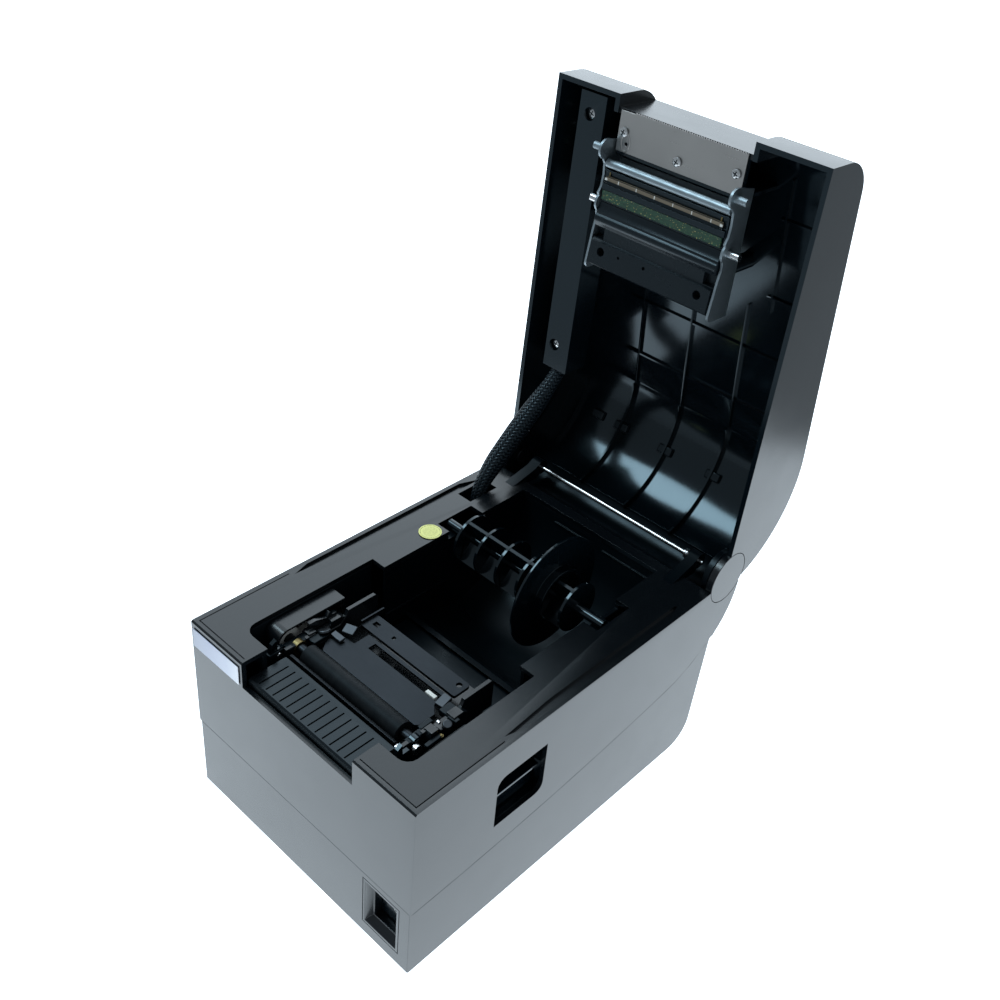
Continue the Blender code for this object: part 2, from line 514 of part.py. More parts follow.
def latches():
    home = (0.0, LATCH_Y, LATCH_Z)
    add("latch_shaft", rod("X", LATCH_Y, LATCH_Z, 1.6, -53.5, 53.5, 24), STEEL, home, smooth=40)
    floor = FRONT_STUD_Z - PIN_R - 1.2
    tip = FRONT_STUD_Y + 1.6
    front = FRONT_STUD_Y - PIN_R - 0.6
    hook = arc(LATCH_Y, LATCH_Z, 4.2, 180.0, 360.0, 10)
    hook += [(front, 90.0), (tip, floor - 2.4), (tip, floor), (front + 0.4, floor)]
    hook += [(front, FRONT_STUD_Z + 2.6), (front - 2.6, FRONT_STUD_Z + 1.0), (front - 4.4, 96.0)]
    for name, side in (("latch_hook_left", -1), ("latch_hook_right", 1)):
        obj = add(name, extrude(hook, "X", *sorted((side * 41.2, side * 43.2))), GLOSS, home)
        cut(obj, rod("X", LATCH_Y, LATCH_Z, 1.6 + GAP, *sorted((side * 40.0, side * 45.0)), 20))


# ---- roll holder ----
def roll_holder():
    home = (0.0, SPINDLE_Y, SPINDLE_Z)
    y, z = SPINDLE_Y, SPINDLE_Z
    obj = add("roll_spindle", rod("X", y, z, STUB_R, -STUB_END, STUB_END, 12), GLOSS, home, smooth=40)
    for i in range(RING_COUNT):
        x = RING_START + RING_PITCH * i
        join(obj, rod("X", y, z, CORE_R, x - 0.7, x + 0.7, 32))
    for angle in SPINDLE_RIBS_DEG:
        a, b = polar(0.0, 0.0, 1.0, angle)
        across = Vector((-b, a)) * 0.8
        inner, outer = Vector((a, b)) * (STUB_R - 1.0), Vector((a, b)) * (CORE_R - 0.2)
        corners = (inner - across, outer - across, outer + across, inner + across)
        rib = [(y + p[0], z + p[1]) for p in corners]
        join(obj, extrude(rib, "X", RING_START, RING_START + RING_PITCH * (RING_COUNT - 1)))
    flange = add("roll_flange", rod("X", y, z, FLANGE_R, FLANGE_X - 0.6, FLANGE_X + 0.6, 56), GLOSS,
                 (FLANGE_X, y, z), smooth=40)
    join(flange, rod("X", y, z, CORE_R + 2.0, FLANGE_X - 0.6, FLANGE_X + 5.0, 36))
    cut(flange, rod("X", y, z, CORE_R + 0.35, FLANGE_X - 3.0, FLANGE_X + 8.0, 36))


# ---- electrics ----
def power_switch():
    x0, x1, z0, z1 = SWITCH_X0 + GAP, SWITCH_X1 - GAP, SWITCH_Z0 + GAP, SWITCH_Z1 - GAP
    obj = add("switch_bezel", box(x0, x1, FRONT_INSET, 15.5, z0, z1), PLASTIC)
    funnel = bmesh.new()
    bmesh.ops.create_cone(funnel, cap_ends=True, segments=4, radius1=1.0, radius2=0.78, depth=4.0)
    funnel.transform(Matrix.Rotation(math.radians(45.0), 4, "Z"))
    funnel.transform(Matrix.Rotation(math.radians(-90.0), 4, "X"))
    side = math.sqrt(0.5)
    funnel.transform(Matrix.Diagonal(((x1 - x0 - 2.2) / 2 / side, 1.0, (z1 - z0 - 2.2) / 2 / side, 1.0)))
    funnel.transform(Matrix.Translation(((x0 + x1) / 2, FRONT_INSET + 1.5, (z0 + z1) / 2)))
    cut(obj, funnel)
    cx, cz = (x0 + x1) / 2, (z0 + z1) / 2
    cut(obj, box(cx - 7.4, cx + 7.4, 0.0, 20.0, cz - 10.4, cz + 10.4))
    y = ROCKER_PIVOT_Y
    tilt = math.radians(ROCKER_TILT_DEG)
    lean = 8.6 * math.tan(tilt / 2)
    face = [(y - 3.2, cz), (y - 3.2 - lean, cz - 9.4), (y + 3.6, cz - 7.8)]
    face += [(y + 3.6, cz + 7.8), (y - 3.2 + lean, cz + 9.4)]
    add("power_rocker", extrude(face, "X", cx - 7.0, cx + 7.0), GLOSS, (cx, y, cz))


def electronics():
    board = add("main_board", box(-56.0, 30.0, 96.0, 192.0, 8.0, 9.6), BOARD)
    for x, y in ((-52.0, 100.0), (26.0, 100.0), (-52.0, 186.0), (26.0, 186.0)):
        join(board, rod("Z", x, y, 3.0, WALL + GAP, 9.0, 12))
    for name, (x0, x1, z0, z1) in PORTS.items():
        colour = STEEL if name == "usb_port" else GLOSS
        obj = add(name, box(x0, x1, 193.0, 205.0, z0, z1), colour)
        if name == "dc_jack":
            cut(obj, rod("Y", (x0 + x1) / 2, (z0 + z1) / 2, 3.2, 197.0, 207.0, 20))
        else:
            cut(obj, box(x0 + 1.4, x1 - 1.4, 197.0, 207.0, z0 + 1.6, z1 - 1.6))


def smooth_route(points, samples):
    """Points on a Catmull-Rom curve through the route, evenly spread over its stretches."""
    pts = [Vector(p) for p in points]
    pts = [2 * pts[0] - pts[1]] + pts + [2 * pts[-1] - pts[-2]]
    out = []
    for i in range(1, len(pts) - 2):
        p0, p1, p2, p3 = pts[i - 1:i + 3]
        for k in range(samples):
            t = k / samples
            out.append(0.5 * (2 * p1 + (p2 - p0) * t + (2 * p0 - 5 * p1 + 4 * p2 - p3) * t ** 2
                              + (3 * p1 - p0 - 3 * p2 + p3) * t ** 3))
    return out + [pts[-2]]


def cable_sleeve():
    curve = bpy.data.curves.new("cable_sleeve", "CURVE")
    curve.dimensions = "3D"
    curve.bevel_depth = SLEEVE_R * MM
    curve.bevel_resolution = 2
    curve.use_fill_caps = True
    route = smooth_route([(*p, r) for p, r in zip(SLEEVE_POINTS, SLEEVE_SWELL)], 2)
    line = curve.splines.new("POLY")
    line.points.add(len(route) - 1)
    for point, place in zip(line.points, route):
        point.co = (*(place.xyz * MM), 1.0)
        point.radius = place[3]
    obj = bpy.data.objects.new("cable_sleeve", curve)
    parts.objects.link(obj)
    obj.parent = printer
    curve.materials.append(material(*BRAID))


# ---- hinge ----
def hinge():
    add("hinge_rod", rod("X", HINGE_Y, HINGE_Z, 1.3, -58.4, 59.4, 20), STEEL, smooth=40)
    clip = add("hinge_clip", rod("X", HINGE_Y, HINGE_Z, 3.0, 49.6, 50.5, 24), STEEL, smooth=40)
    cut(clip, rod("X", HINGE_Y, HINGE_Z, 1.3 + GAP, 48.0, 52.0, 20))
    for name, side in (("hinge_cap_left", -1), ("hinge_cap_right", 1)):
        disc = rod("X", HINGE_Y, HINGE_Z, CAP_R, *sorted((side * 71.3, side * HALF)), 64)
        cap = add(name, disc, PLASTIC, smooth=30)
        join(cap, rod("X", HINGE_Y, HINGE_Z, 5.0, *sorted((side * 66.0, side * 72.0)), 32))


# ---- lid ----
def lid_shell():
    """One moulding: a solid outline, hollowed from below, open round the hinge and at the paper exit."""
    outer, rear_z = lid_outline(0.0)
    inner, _ = lid_outline(WALL)
    y, z = HINGE_Y, HINGE_Z
    barrel_start = math.degrees(math.atan2(outer[-1][1] - z, outer[-1][0] - y))
    rim_angle = 180.0 + math.degrees(math.asin((z - LID_RIM_Z) / BARREL_IN))
    outline = outer + arc(y, z, BARREL_OUT, barrel_start, BARREL_END_DEG, 10)[1:]
    outline += arc(y, z, BARREL_IN, BARREL_END_DEG, rim_angle, 18)
    obj = add("lid_shell", extrude(outline, "X", -HALF, HALF), PLASTIC, on_lid=True, smooth=30)
    below = LID_RIM_Z - 6.0
    hinge_side = [polar(y, z, BARREL_IN - 3.0, 100.0), polar(y, z, BARREL_IN - 3.0, 180.0),
                  (y - BARREL_IN + 3.0, below)]
    behind_wall = [(EXIT_WALL_Y, below), (EXIT_WALL_Y, LID_FRONT_ARC_Z + 10.0)]
    behind_wall += [p for p in inner if p[0] > EXIT_WALL_Y + 0.4]
    cut(obj, extrude(behind_wall + hinge_side, "X", -HALF + WALL, HALF - WALL))
    front_end = [(WALL, below)] + [p for p in inner[1:] if p[0] < 12.0]
    front_end += [(14.0, front_end[-1][1]), (14.0, below)]
    for s in (-1, 1):
        cut(obj, extrude(front_end, "X", *sorted((s * (NOTCH_HALF + WALL), s * (HALF - WALL)))))
        cut(obj, rod("X", y, z, CLEAR_R, *sorted((s * 70.8, s * 76.0)), 48))
    cut(obj, box(-NOTCH_HALF, NOTCH_HALF, -1.0, EXIT_WALL_Y - WALL, 100.0, 150.0))
    cut(obj, box(-NOTCH_HALF, NOTCH_HALF, 5.0, 9.5, 100.0, 107.5))
    for s in (-1, 1):
        join(obj, rod("X", y, z, BARREL_IN + 0.7, *sorted((s * 67.4, s * 70.4)), 32))
        cut(obj, rod("X", y, z, 5.4, *sorted((s * 66.0, s * 77.0)), 24))
    for x in (-62.0, -31.0, 0.0, 31.0, 62.0):
        ends = (RIB_END_DEG, 92.0) if abs(x) < 60 else (RIB_END_DEG + 8.0, 80.0)
        rib = arc(LID_REAR_Y, rear_z, LID_REAR_R - WALL + 0.3, *ends, 16)
        rib += arc(LID_REAR_Y, rear_z, LID_REAR_R - WALL - RIB_DEPTH, ends[1], ends[0], 16)
        join(obj, extrude(rib, "X", x - 0.6, x + 0.6))
    grid = [(x - 0.5, x + 0.5, 88.0, 166.0) for x in (-31.0, 0.0, 31.0)]
    grid += [(-40.0, 72.8, y - 0.5, y + 0.5) for y in (112.0, 144.0)]
    grid += [(42.5, 43.5, 20.0, 88.0), (40.0, 72.8, 39.5, 40.5), (40.0, 72.8, 79.5, 80.5)]
    for x0, x1, y0, y1 in grid:
        depth = 1.7 if x1 - x0 < 2.0 else 1.4
        low = [(y, lid_roof(y) - depth) for y in (y0, y1)]
        high = [(y, lid_roof(y) + 1.0) for y in (y1, y0)]
        join(obj, extrude(low + high, "X", x0, x1))
    block = [(8.0, 107.3), (27.2, 107.3), (27.2, lid_roof(26.0) + 1.0), (25.4, lid_roof(26.0) + 1.0),
             (25.4, 109.3), (8.0, 109.3)]
    join(obj, extrude(block, "X", -35.3, 35.3))
    for x, y in BRACKET_POSTS:
        join(obj, rod("Z", x, y, 4.0, 114.2 + GAP, lid_roof(y) + 1.0, 20))
    top = lid_roof(BUTTON_Y) + WALL + 3.0
    cut(obj, rod("Z", BUTTON_X, BUTTON_Y, 5.2, 130.0, top + 2.0, 28))
    cut(obj, rod("Z", BUTTON_X, LIGHT_Y, 1.8, 130.0, top + 6.0, 16))
    return obj


def lid_roof(y):
    """Height of the lid's inner surface over its straight, sloping part."""
    slope = math.radians(LID_SLOPE_DEG)
    start_y = LID_FRONT_R * (1.0 - math.sin(slope))
    start_z = LID_FRONT_ARC_Z + LID_FRONT_R * math.cos(slope)
    return start_z + (y - start_y) * math.tan(slope) - WALL / math.cos(slope)


def lid_controls():
    outer_z = lid_roof(BUTTON_Y) + WALL / math.cos(math.radians(LID_SLOPE_DEG))
    add("feed_button", rod("Z", BUTTON_X, BUTTON_Y, 4.8, outer_z - 6.0, outer_z + 1.4, 28), PLASTIC,
        (BUTTON_X, BUTTON_Y, outer_z), on_lid=True, smooth=40)
    z = lid_roof(LIGHT_Y) + WALL
    lens = rod("Z", BUTTON_X, LIGHT_Y, 1.5, z - 5.0, z + 0.1, 16)
    add("status_light", lens, LENS, on_lid=True, smooth=40)


def cable_cover():
    obj = add("cable_cover", box(-61.0, -45.4, 4.2, 150.0, 107.8, 124.0), PLASTIC, on_lid=True)
    cut(obj, box(-59.6, -46.8, 5.6, 160.0, 109.2, 130.0))
    for n, (x, y) in enumerate(COVER_SCREWS, 1):
        join(obj, rod("Z", x, y, 4.2, 108.4, 113.0, 24))
        cut(obj, rod("Z", x, y, 3.2, 100.0, 111.0, 24))
        head = rod("Z", x, y, 2.5, 108.6, 111.0 - GAP, 20)
        screw = add(f"cover_screw_{n}", head, STEEL, on_lid=True, smooth=40)
        cut(screw, box(x - 1.5, x + 1.5, y - 0.3, y + 0.3, 107.0, 109.4))
        cut(screw, box(x - 0.3, x + 0.3, y - 1.5, y + 1.5, 107.0, 109.4))
    return obj


def tear_bar():
    y0, y1, half = 6.6, 25.3, 35.1
    teeth, pitch = 48, 1.3
    edge = [(-half, y0), (half - teeth * pitch, y0)]
    for i in range(teeth):
        x = half - (teeth - i) * pitch
        edge += [(x + pitch / 2, y0 - 0.7), (x + pitch, y0)]
    low, high = 106.2, 107.0
    obj = add("tear_bar", extrude(edge + [(half, y1), (-half, y1)], "Z", low, high), STEEL, on_lid=True)
    cut(obj, rod("Z", -29.6, 21.2, 0.9, 100.0, 110.0, 16))
    for n, (x, y) in enumerate(TEAR_SCREWS, 1):
        head = rod("Z", x, y, 2.2, low - GAP - 1.2, low - GAP, 20)
        screw = add(f"tear_screw_{n}", head, STEEL, on_lid=True, smooth=40)
        cut(screw, box(x - 1.4, x + 1.4, y - 0.3, y + 0.3, 104.0, 105.3))
        cut(screw, box(x - 0.3, x + 0.3, y - 1.4, y + 1.4, 104.0, 105.3))


def head_bracket():
    x_in, x_out, web = 36.0, 37.2, 112.8
    obj = add("head_bracket", box(-x_out, x_out, 30.0, 83.0, web, web + 1.2), STEEL, on_lid=True)
    lobe = arc(FRONT_STUD_Y, FRONT_STUD_Z, 4.8, 170.0, 345.0, 10)
    dip = [(31.5, 101.4), (37.0, 102.0), (42.5, 101.6), (45.5, 99.8)]
    second = arc(REAR_PIN_Y, REAR_PIN_Z, 5.2, 225.0, 320.0, 6)
    tail = [(58.0, 101.6), (64.0, 100.4), (80.0, 98.4)] + arc(80.6, 101.4, 3.0, -90.0, 0.0, 4)
    cheek = lobe + dip + second + tail + [(83.6, web + 1.2), (22.0, web + 1.2)]
    for s in (-1, 1):
        span = sorted((s * x_in, s * x_out))
        join(obj, extrude(cheek, "X", *span))
        cut(obj, rod("X", REAR_PIN_Y, REAR_PIN_Z, PIN_R + 0.06, span[0] - 1, span[1] + 1, 32))
        join(obj, rod("X", FRONT_STUD_Y, FRONT_STUD_Z, PIN_R, *sorted((s * (x_in + 0.4), s * 43.0)), 20))
    return obj


def print_head():
    home = (0.0, REAR_PIN_Y, REAR_PIN_Z)
    add("head_pin", rod("X", REAR_PIN_Y, REAR_PIN_Z, PIN_R, -43.2, 43.2, 32), STEEL, on_lid=True, smooth=40)
    sink = add("head_heatsink", box(-35.3, 35.3, 33.8, 49.2, 101.4, 108.0), GLOSS, home, on_lid=True)
    cut(sink, rod("X", REAR_PIN_Y, REAR_PIN_Z, PIN_R + GAP, -40.0, 40.0, 32))
    cut(sink, box(-40.0, 40.0, 35.0, 48.6, 100.0, 101.9))
    join(sink, box(-35.0, 35.0, 40.4, 43.2, 100.5, 103.0))
    add("print_head", box(-33.6, 33.0, 36.6, 40.0, 100.4, 101.6), CERAMIC, home, on_lid=True)
    add("head_board", box(-34.6, 34.0, 43.6, 48.2, 100.6, 101.6), BOARD, home, on_lid=True)
    add("pressure_bar", rod("X", 31.0, 102.4, 2.1, -35.3, 35.3, 32), STEEL, home, on_lid=True, smooth=40)
    cover = [(49.5, 101.4), (52.4, 100.9), (54.0, 99.6)] + arc(57.4, 101.2, 2.9, 215.0, 320.0, 6)
    cover += [(61.2, 100.2), (67.4, 100.4), (68.2, 98.9), (79.4, 98.0), (80.4, 99.0)]
    cover += [(80.4, 108.0), (49.5, 108.0)]
    obj = add("head_cover", extrude(cover, "X", -35.3, 35.3), GLOSS, home, on_lid=True, smooth=40)
    cut(obj, rod("X", REAR_PIN_Y, REAR_PIN_Z, PIN_R + 0.06, -40.0, 40.0, 32))
    for s in (-1, 1):
        cut(obj, rod("Z", s * 28.6, 72.6, 2.2, 90.0, 103.0, 20))
        cut(obj, box(*sorted((s * 29.4, s * 40.0)), 61.0, 67.0, 90.0, 104.0))
    cut(obj, rod("Z", -17.8, 71.8, 0.7, 90.0, 100.5, 12))
    cut(obj, rod("Z", -2.6, 71.4, 0.9, 90.0, 100.5, 12))


def build():
    lower_case()
    upper_case()
    feet()
    mechanism_bay()
    roll_bin()
    latch_housing()
    release_slider()
    exit_tray()
    deck_trim()
    mechanism_frame()
    platen_bushes()
    platen()
    gear_train()
    stepper_motor()
    gear_cover()
    paper_path()
    latches()
    roll_holder()
    power_switch()
    electronics()
    cable_sleeve()
    hinge()
    lid_shell()
    lid_controls()
    cable_cover()
    tear_bar()
    head_bracket()
    print_head()


build()
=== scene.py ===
"""Looks of the receipt printer: camera, studio light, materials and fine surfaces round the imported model.

Places are given in the printer's design frame, in millimetres (X right, Y back from the front face,
Z up from the case's underside), and turned into the model's metres by at() and at_lid().
"""
import json
import math

import bmesh
import bpy
from mathutils import Matrix, Vector
from mathutils.bvhtree import BVHTree


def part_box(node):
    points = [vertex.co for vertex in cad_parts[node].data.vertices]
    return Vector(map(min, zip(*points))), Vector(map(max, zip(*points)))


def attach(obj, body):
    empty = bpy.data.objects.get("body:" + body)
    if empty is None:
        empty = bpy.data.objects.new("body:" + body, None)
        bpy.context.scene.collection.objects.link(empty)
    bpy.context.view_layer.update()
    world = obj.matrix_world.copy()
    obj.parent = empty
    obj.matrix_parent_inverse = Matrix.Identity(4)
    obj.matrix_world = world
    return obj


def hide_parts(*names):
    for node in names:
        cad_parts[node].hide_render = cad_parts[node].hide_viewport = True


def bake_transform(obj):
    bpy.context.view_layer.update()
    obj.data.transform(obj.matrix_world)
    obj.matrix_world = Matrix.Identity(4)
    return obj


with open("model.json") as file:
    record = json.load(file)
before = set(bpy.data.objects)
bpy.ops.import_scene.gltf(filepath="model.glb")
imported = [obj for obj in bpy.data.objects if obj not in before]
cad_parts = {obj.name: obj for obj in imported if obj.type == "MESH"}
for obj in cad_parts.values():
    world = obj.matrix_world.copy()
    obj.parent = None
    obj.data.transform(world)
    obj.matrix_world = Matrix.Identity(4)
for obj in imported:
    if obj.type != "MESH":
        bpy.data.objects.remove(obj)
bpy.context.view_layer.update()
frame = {"nodes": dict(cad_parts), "record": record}

MM = 0.001
FOOT_STAND = 1.5                           # the case's underside above the floor, mm
FRONT_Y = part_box("upper_case")[0].y        # the case's front face in the model
HINGE_Y, HINGE_Z = 212.0, 108.5            # the lid hinge in the design frame, mm
LID_OPEN = math.radians(92.7)

NODES = frame["nodes"]
BODY_OF = {n: body for body, members in frame["record"]["behaviour"]["bodies"].items() for n in members}
SLOT_OF = {s["node"]: s["material_slot"] for s in frame["record"]["subparts"]}


def at(x, y, z):
    """A point of the case, from the design frame in mm to the model in metres."""
    return Vector((x * MM, FRONT_Y + y * MM, (z + FOOT_STAND) * MM))


def at_lid(x, y, z):
    """A point of the closed lid in the design frame, where it is on the open lid."""
    dy, dz = y - HINGE_Y, z - HINGE_Z
    c, s = math.cos(LID_OPEN), math.sin(LID_OPEN)
    return at(x, HINGE_Y + dy * c + dz * s, HINGE_Z - dy * s + dz * c)


# ---- camera, light and floor ----
CAMERA_ANGLES = (39.08, 33.67, 6.28)       # azimuth, elevation and roll in degrees
CAMERA_PLACE = (288.2, -214.2, 479.6)      # in the design frame, mm
CAMERA_LENS, CAMERA_SENSOR = 42.54, 36.0
CAMERA_SHIFT = (-0.0348, -0.0454)

COOL = (0.82, 0.92, 1.0)                   # the studio light's tint
SCREEN_DIRECTION = (-0.52, 0.70, 0.49)
SKY_STOPS = [(0.0, 0.12), (0.55, 0.16), (0.86, 0.80), (1.0, 1.0)]
SKY_GLOW = 2.6
FLOOR_SIZE, FLOOR_GLOW = 30.0, 2.0
SURROUND_GLOW, SURROUND_LIFT, SURROUND_SIDES = 0.25, 0.0004, 48
BRIGHT_RADIUS, BRIGHT_MIDDLE = 0.36, (0.02, 0.06)
SOFTBOX = {"place": (-0.85, -0.60, 1.65), "target": (0.0, 0.0, 0.1), "width": 0.75, "height": 0.60,
           "power": 14.0, "tint": (0.70, 0.90, 1.0)}


def camera():
    azimuth, elevation, roll = (math.radians(d) for d in CAMERA_ANGLES)
    back = Vector((math.sin(azimuth) * math.cos(elevation), -math.cos(azimuth) * math.cos(elevation),
                   math.sin(elevation)))
    right = Vector((0, 0, 1)).cross(back).normalized()
    turn = Matrix.Rotation(roll, 3, back)
    right, up = turn @ right, turn @ back.cross(right)
    data = bpy.data.cameras.new("camera")
    data.lens = CAMERA_LENS
    data.sensor_width = CAMERA_SENSOR
    data.shift_x, data.shift_y = CAMERA_SHIFT
    data.clip_start = 0.01
    obj = bpy.data.objects.new("camera", data)
    bpy.context.scene.collection.objects.link(obj)
    obj.matrix_world = Matrix.Translation(at(*CAMERA_PLACE)) @ \
        Matrix((right, up, back)).transposed().to_4x4()
    bpy.context.scene.camera = obj


def area_light(name, place, target, width, height, power, tint):
    data = bpy.data.lights.new(name, "AREA")
    data.shape = "RECTANGLE"
    data.size, data.size_y = width, height
    data.energy = power
    data.color = tint
    obj = bpy.data.objects.new(name, data)
    bpy.context.scene.collection.objects.link(obj)
    obj.location = place
    obj.rotation_euler = (Vector(target) - Vector(place)).to_track_quat("-Z", "Y").to_euler()


def sky():
    """A dim studio with one great bright screen behind the printer, high on its left."""
    world = bpy.data.worlds.new("studio")
    bpy.context.scene.world = world
    world.use_nodes = True
    nodes, links = world.node_tree.nodes, world.node_tree.links
    direction = nodes.new("ShaderNodeTexCoord").outputs["Generated"]
    toward = nodes.new("ShaderNodeVectorMath")
    toward.operation = "DOT_PRODUCT"
    toward.inputs[1].default_value = SCREEN_DIRECTION
    glow = nodes.new("ShaderNodeValToRGB")
    while len(glow.color_ramp.elements) < len(SKY_STOPS):
        glow.color_ramp.elements.new(0.5)
    for element, (nearness, level) in zip(glow.color_ramp.elements, SKY_STOPS):
        element.position = nearness
        element.color = (*(level * c for c in COOL), 1.0)
    links.new(direction, toward.inputs[0])
    links.new(toward.outputs["Value"], glow.inputs["Fac"])
    links.new(glow.outputs["Color"], nodes["Background"].inputs["Color"])
    nodes["Background"].inputs["Strength"].default_value = SKY_GLOW


def flat_paint(name, colour, glow):
    paint = bpy.data.materials.new(name)
    paint.use_nodes = True
    shader = paint.node_tree.nodes["Principled BSDF"]
    shader.inputs["Base Color"].default_value = (*colour, 1.0)
    shader.inputs["Roughness"].default_value = 0.9
    shader.inputs["Specular IOR Level"].default_value = 0.1
    shader.inputs["Emission Color"].default_value = (*COOL, 1.0)
    shader.inputs["Emission Strength"].default_value = glow
    return paint


def stage_piece(name, points, faces, paint):
    mesh = bpy.data.meshes.new(name)
    mesh.from_pydata(points, [], faces)
    obj = bpy.data.objects.new(name, mesh)
    bpy.context.scene.collection.objects.link(obj)
    mesh.materials.append(paint)
    return obj


def white_floor():
    """A pale table that glows a little, so that it stays white round a black object.

    Away from the printer lies a darker ring that the camera does not see. The glossy case mirrors it.
    """
    size = FLOOR_SIZE
    corners = [(-size, -size, 0.0), (size, -size, 0.0), (size, size, 0.0), (-size, size, 0.0)]
    stage_piece("floor", corners, [(0, 1, 2, 3)], flat_paint("floor", (0.3, 0.3, 0.3), FLOOR_GLOW))
    count = SURROUND_SIDES
    ring = []
    for i in range(count):
        a = 2 * math.pi * i / count
        for r in (BRIGHT_RADIUS, size):
            ring.append((BRIGHT_MIDDLE[0] + r * math.cos(a), BRIGHT_MIDDLE[1] + r * math.sin(a),
                         SURROUND_LIFT))
    faces = [(2 * i, 2 * i + 1, (2 * i + 3) % (2 * count), (2 * i + 2) % (2 * count))
             for i in range(count)]
    surround = stage_piece("surround", ring, faces, flat_paint("surround", (0.2, 0.2, 0.2), SURROUND_GLOW))
    surround.visible_camera = False
    surround.visible_shadow = False


def studio():
    sky()
    white_floor()
    area_light("softbox", **SOFTBOX)
    bpy.context.scene.view_settings.view_transform = "Standard"


# ---- materials ----
WHITE, BLACK = (1.0, 1.0, 1.0), (0.0, 0.0, 0.0)
NIGHT = (0.72, 0.90, 1.0)                  # the cool sheen of the glossy and the deep black plastic
SPARK_GRAIN = 0.00035                      # the moulded texture's grain, in metres
METAL_DEPTH = 0.000012
STICKER_MIDDLE, STICKER_REACH = (-51.6, 126.6, 106.6), 6.0
PLATE_LEFT, PLATE_RIGHT = -73.3, -39.2     # the name plate's ends, mm


class Paint:
    """A material with helpers for the nodes that most of the finishes here share."""

    def __init__(self, name, colour, roughness, metallic=0.0):
        self.material = bpy.data.materials.new(name)
        self.material.use_nodes = True
        self.tree = self.material.node_tree
        self.shader = self.tree.nodes["Principled BSDF"]
        self.set("Base Color", (*colour, 1.0))
        self.set("Roughness", roughness)
        self.set("Metallic", metallic)
        self.place = self.node("ShaderNodeTexCoord").outputs["Object"]
        self.last_bump = None

    def node(self, kind, **inputs):
        made = self.tree.nodes.new(kind)
        for socket, value in inputs.items():
            made.inputs[socket].default_value = value
        return made

    def set(self, socket, value):
        self.shader.inputs[socket].default_value = value

    def link(self, source, target):
        self.tree.links.new(source, target)

    def noise(self, size, detail=3.0, stretch=(1.0, 1.0, 1.0)):
        """Noise whose blobs are about size metres across, drawn out along an axis by stretch."""
        texture = self.node("ShaderNodeTexNoise", Scale=1.0 / size, Detail=detail, Roughness=0.5)
        mapping = self.node("ShaderNodeMapping")
        mapping.inputs["Scale"].default_value = [1.0 / s for s in stretch]
        self.link(self.place, mapping.inputs["Vector"])
        self.link(mapping.outputs["Vector"], texture.inputs["Vector"])
        return texture.outputs["Fac"]

    def spread(self, value, low, high, from_low=0.3, from_high=0.7):
        """A value carried from its usual range to low..high."""
        made = self.node("ShaderNodeMapRange")
        for socket, number in (("From Min", from_low), ("From Max", from_high),
                               ("To Min", low), ("To Max", high)):
            made.inputs[socket].default_value = number
        self.link(value, made.inputs["Value"])
        return made.outputs["Result"]

    def ramp(self, value, stops, interpolation="LINEAR"):
        made = self.node("ShaderNodeValToRGB")
        ramp = made.color_ramp
        ramp.interpolation = interpolation
        while len(ramp.elements) < len(stops):
            ramp.elements.new(0.5)
        for element, (position, colour) in zip(ramp.elements, stops):
            element.position = position
            element.color = (*colour, 1.0)
        self.link(value, made.inputs["Fac"])
        return made.outputs["Color"]

    def vary_colour(self, value, dark, light):
        self.link(self.ramp(value, [(0.3, dark), (0.7, light)]), self.shader.inputs["Base Color"])

    def vary_roughness(self, value, low, high):
        self.link(self.spread(value, low, high), self.shader.inputs["Roughness"])

    def bump(self, value, depth):
        """Raises the surface by depth metres where the value is 1."""
        made = self.node("ShaderNodeBump", Strength=1.0, Distance=depth)
        self.link(value, made.inputs["Height"])
        if self.last_bump:
            self.link(self.last_bump, made.inputs["Normal"])
        self.last_bump = made.outputs["Normal"]
        self.link(self.last_bump, self.shader.inputs["Normal"])


def shade(colour, factor):
    return tuple(min(1.0, c * factor) for c in colour)


def moulded(name, colour, roughness, depth=0.00003, waviness=0.0, specular=0.5, tint=WHITE):
    """Injection-moulded plastic: fine spark texture, slow change of gloss, faint sink marks."""
    p = Paint(name, colour, roughness)
    p.set("Specular IOR Level", specular)
    p.set("Specular Tint", (*tint, 1.0))
    slow = p.noise(0.05, 2.0)
    p.vary_colour(slow, shade(colour, 0.88), shade(colour, 1.12))
    p.vary_roughness(p.noise(0.018, 4.0), roughness * 0.88, roughness * 1.14)
    if waviness:
        p.bump(p.noise(0.03, 1.0), waviness)
    p.bump(p.noise(SPARK_GRAIN, 3.0), depth)
    return p.material


def metal(name, colour, roughness, along=(1.0, 1.0, 1.0)):
    """Metal with drawn or rolled streaks along the axis that is stretched, and slight tarnish."""
    p = Paint(name, colour, roughness, 1.0)
    streaks = p.noise(0.0007, 4.0, along)
    p.vary_colour(p.noise(0.008, 4.0), shade(colour, 0.8), shade(colour, 1.1))
    p.vary_roughness(streaks, roughness * 0.75, roughness * 1.3)
    p.bump(streaks, METAL_DEPTH)
    return p.material


def rubber_paint():
    p = Paint("rubber_finish", (0.006, 0.007, 0.008), 0.5)
    p.set("Specular IOR Level", 0.11)
    p.set("Specular Tint", (*NIGHT, 1.0))
    p.vary_colour(p.noise(0.004, 4.0), (0.004, 0.005, 0.006), (0.009, 0.010, 0.011))
    p.bump(p.noise(0.0003, 4.0, (6.0, 1.0, 1.0)), 0.00003)
    return p.material


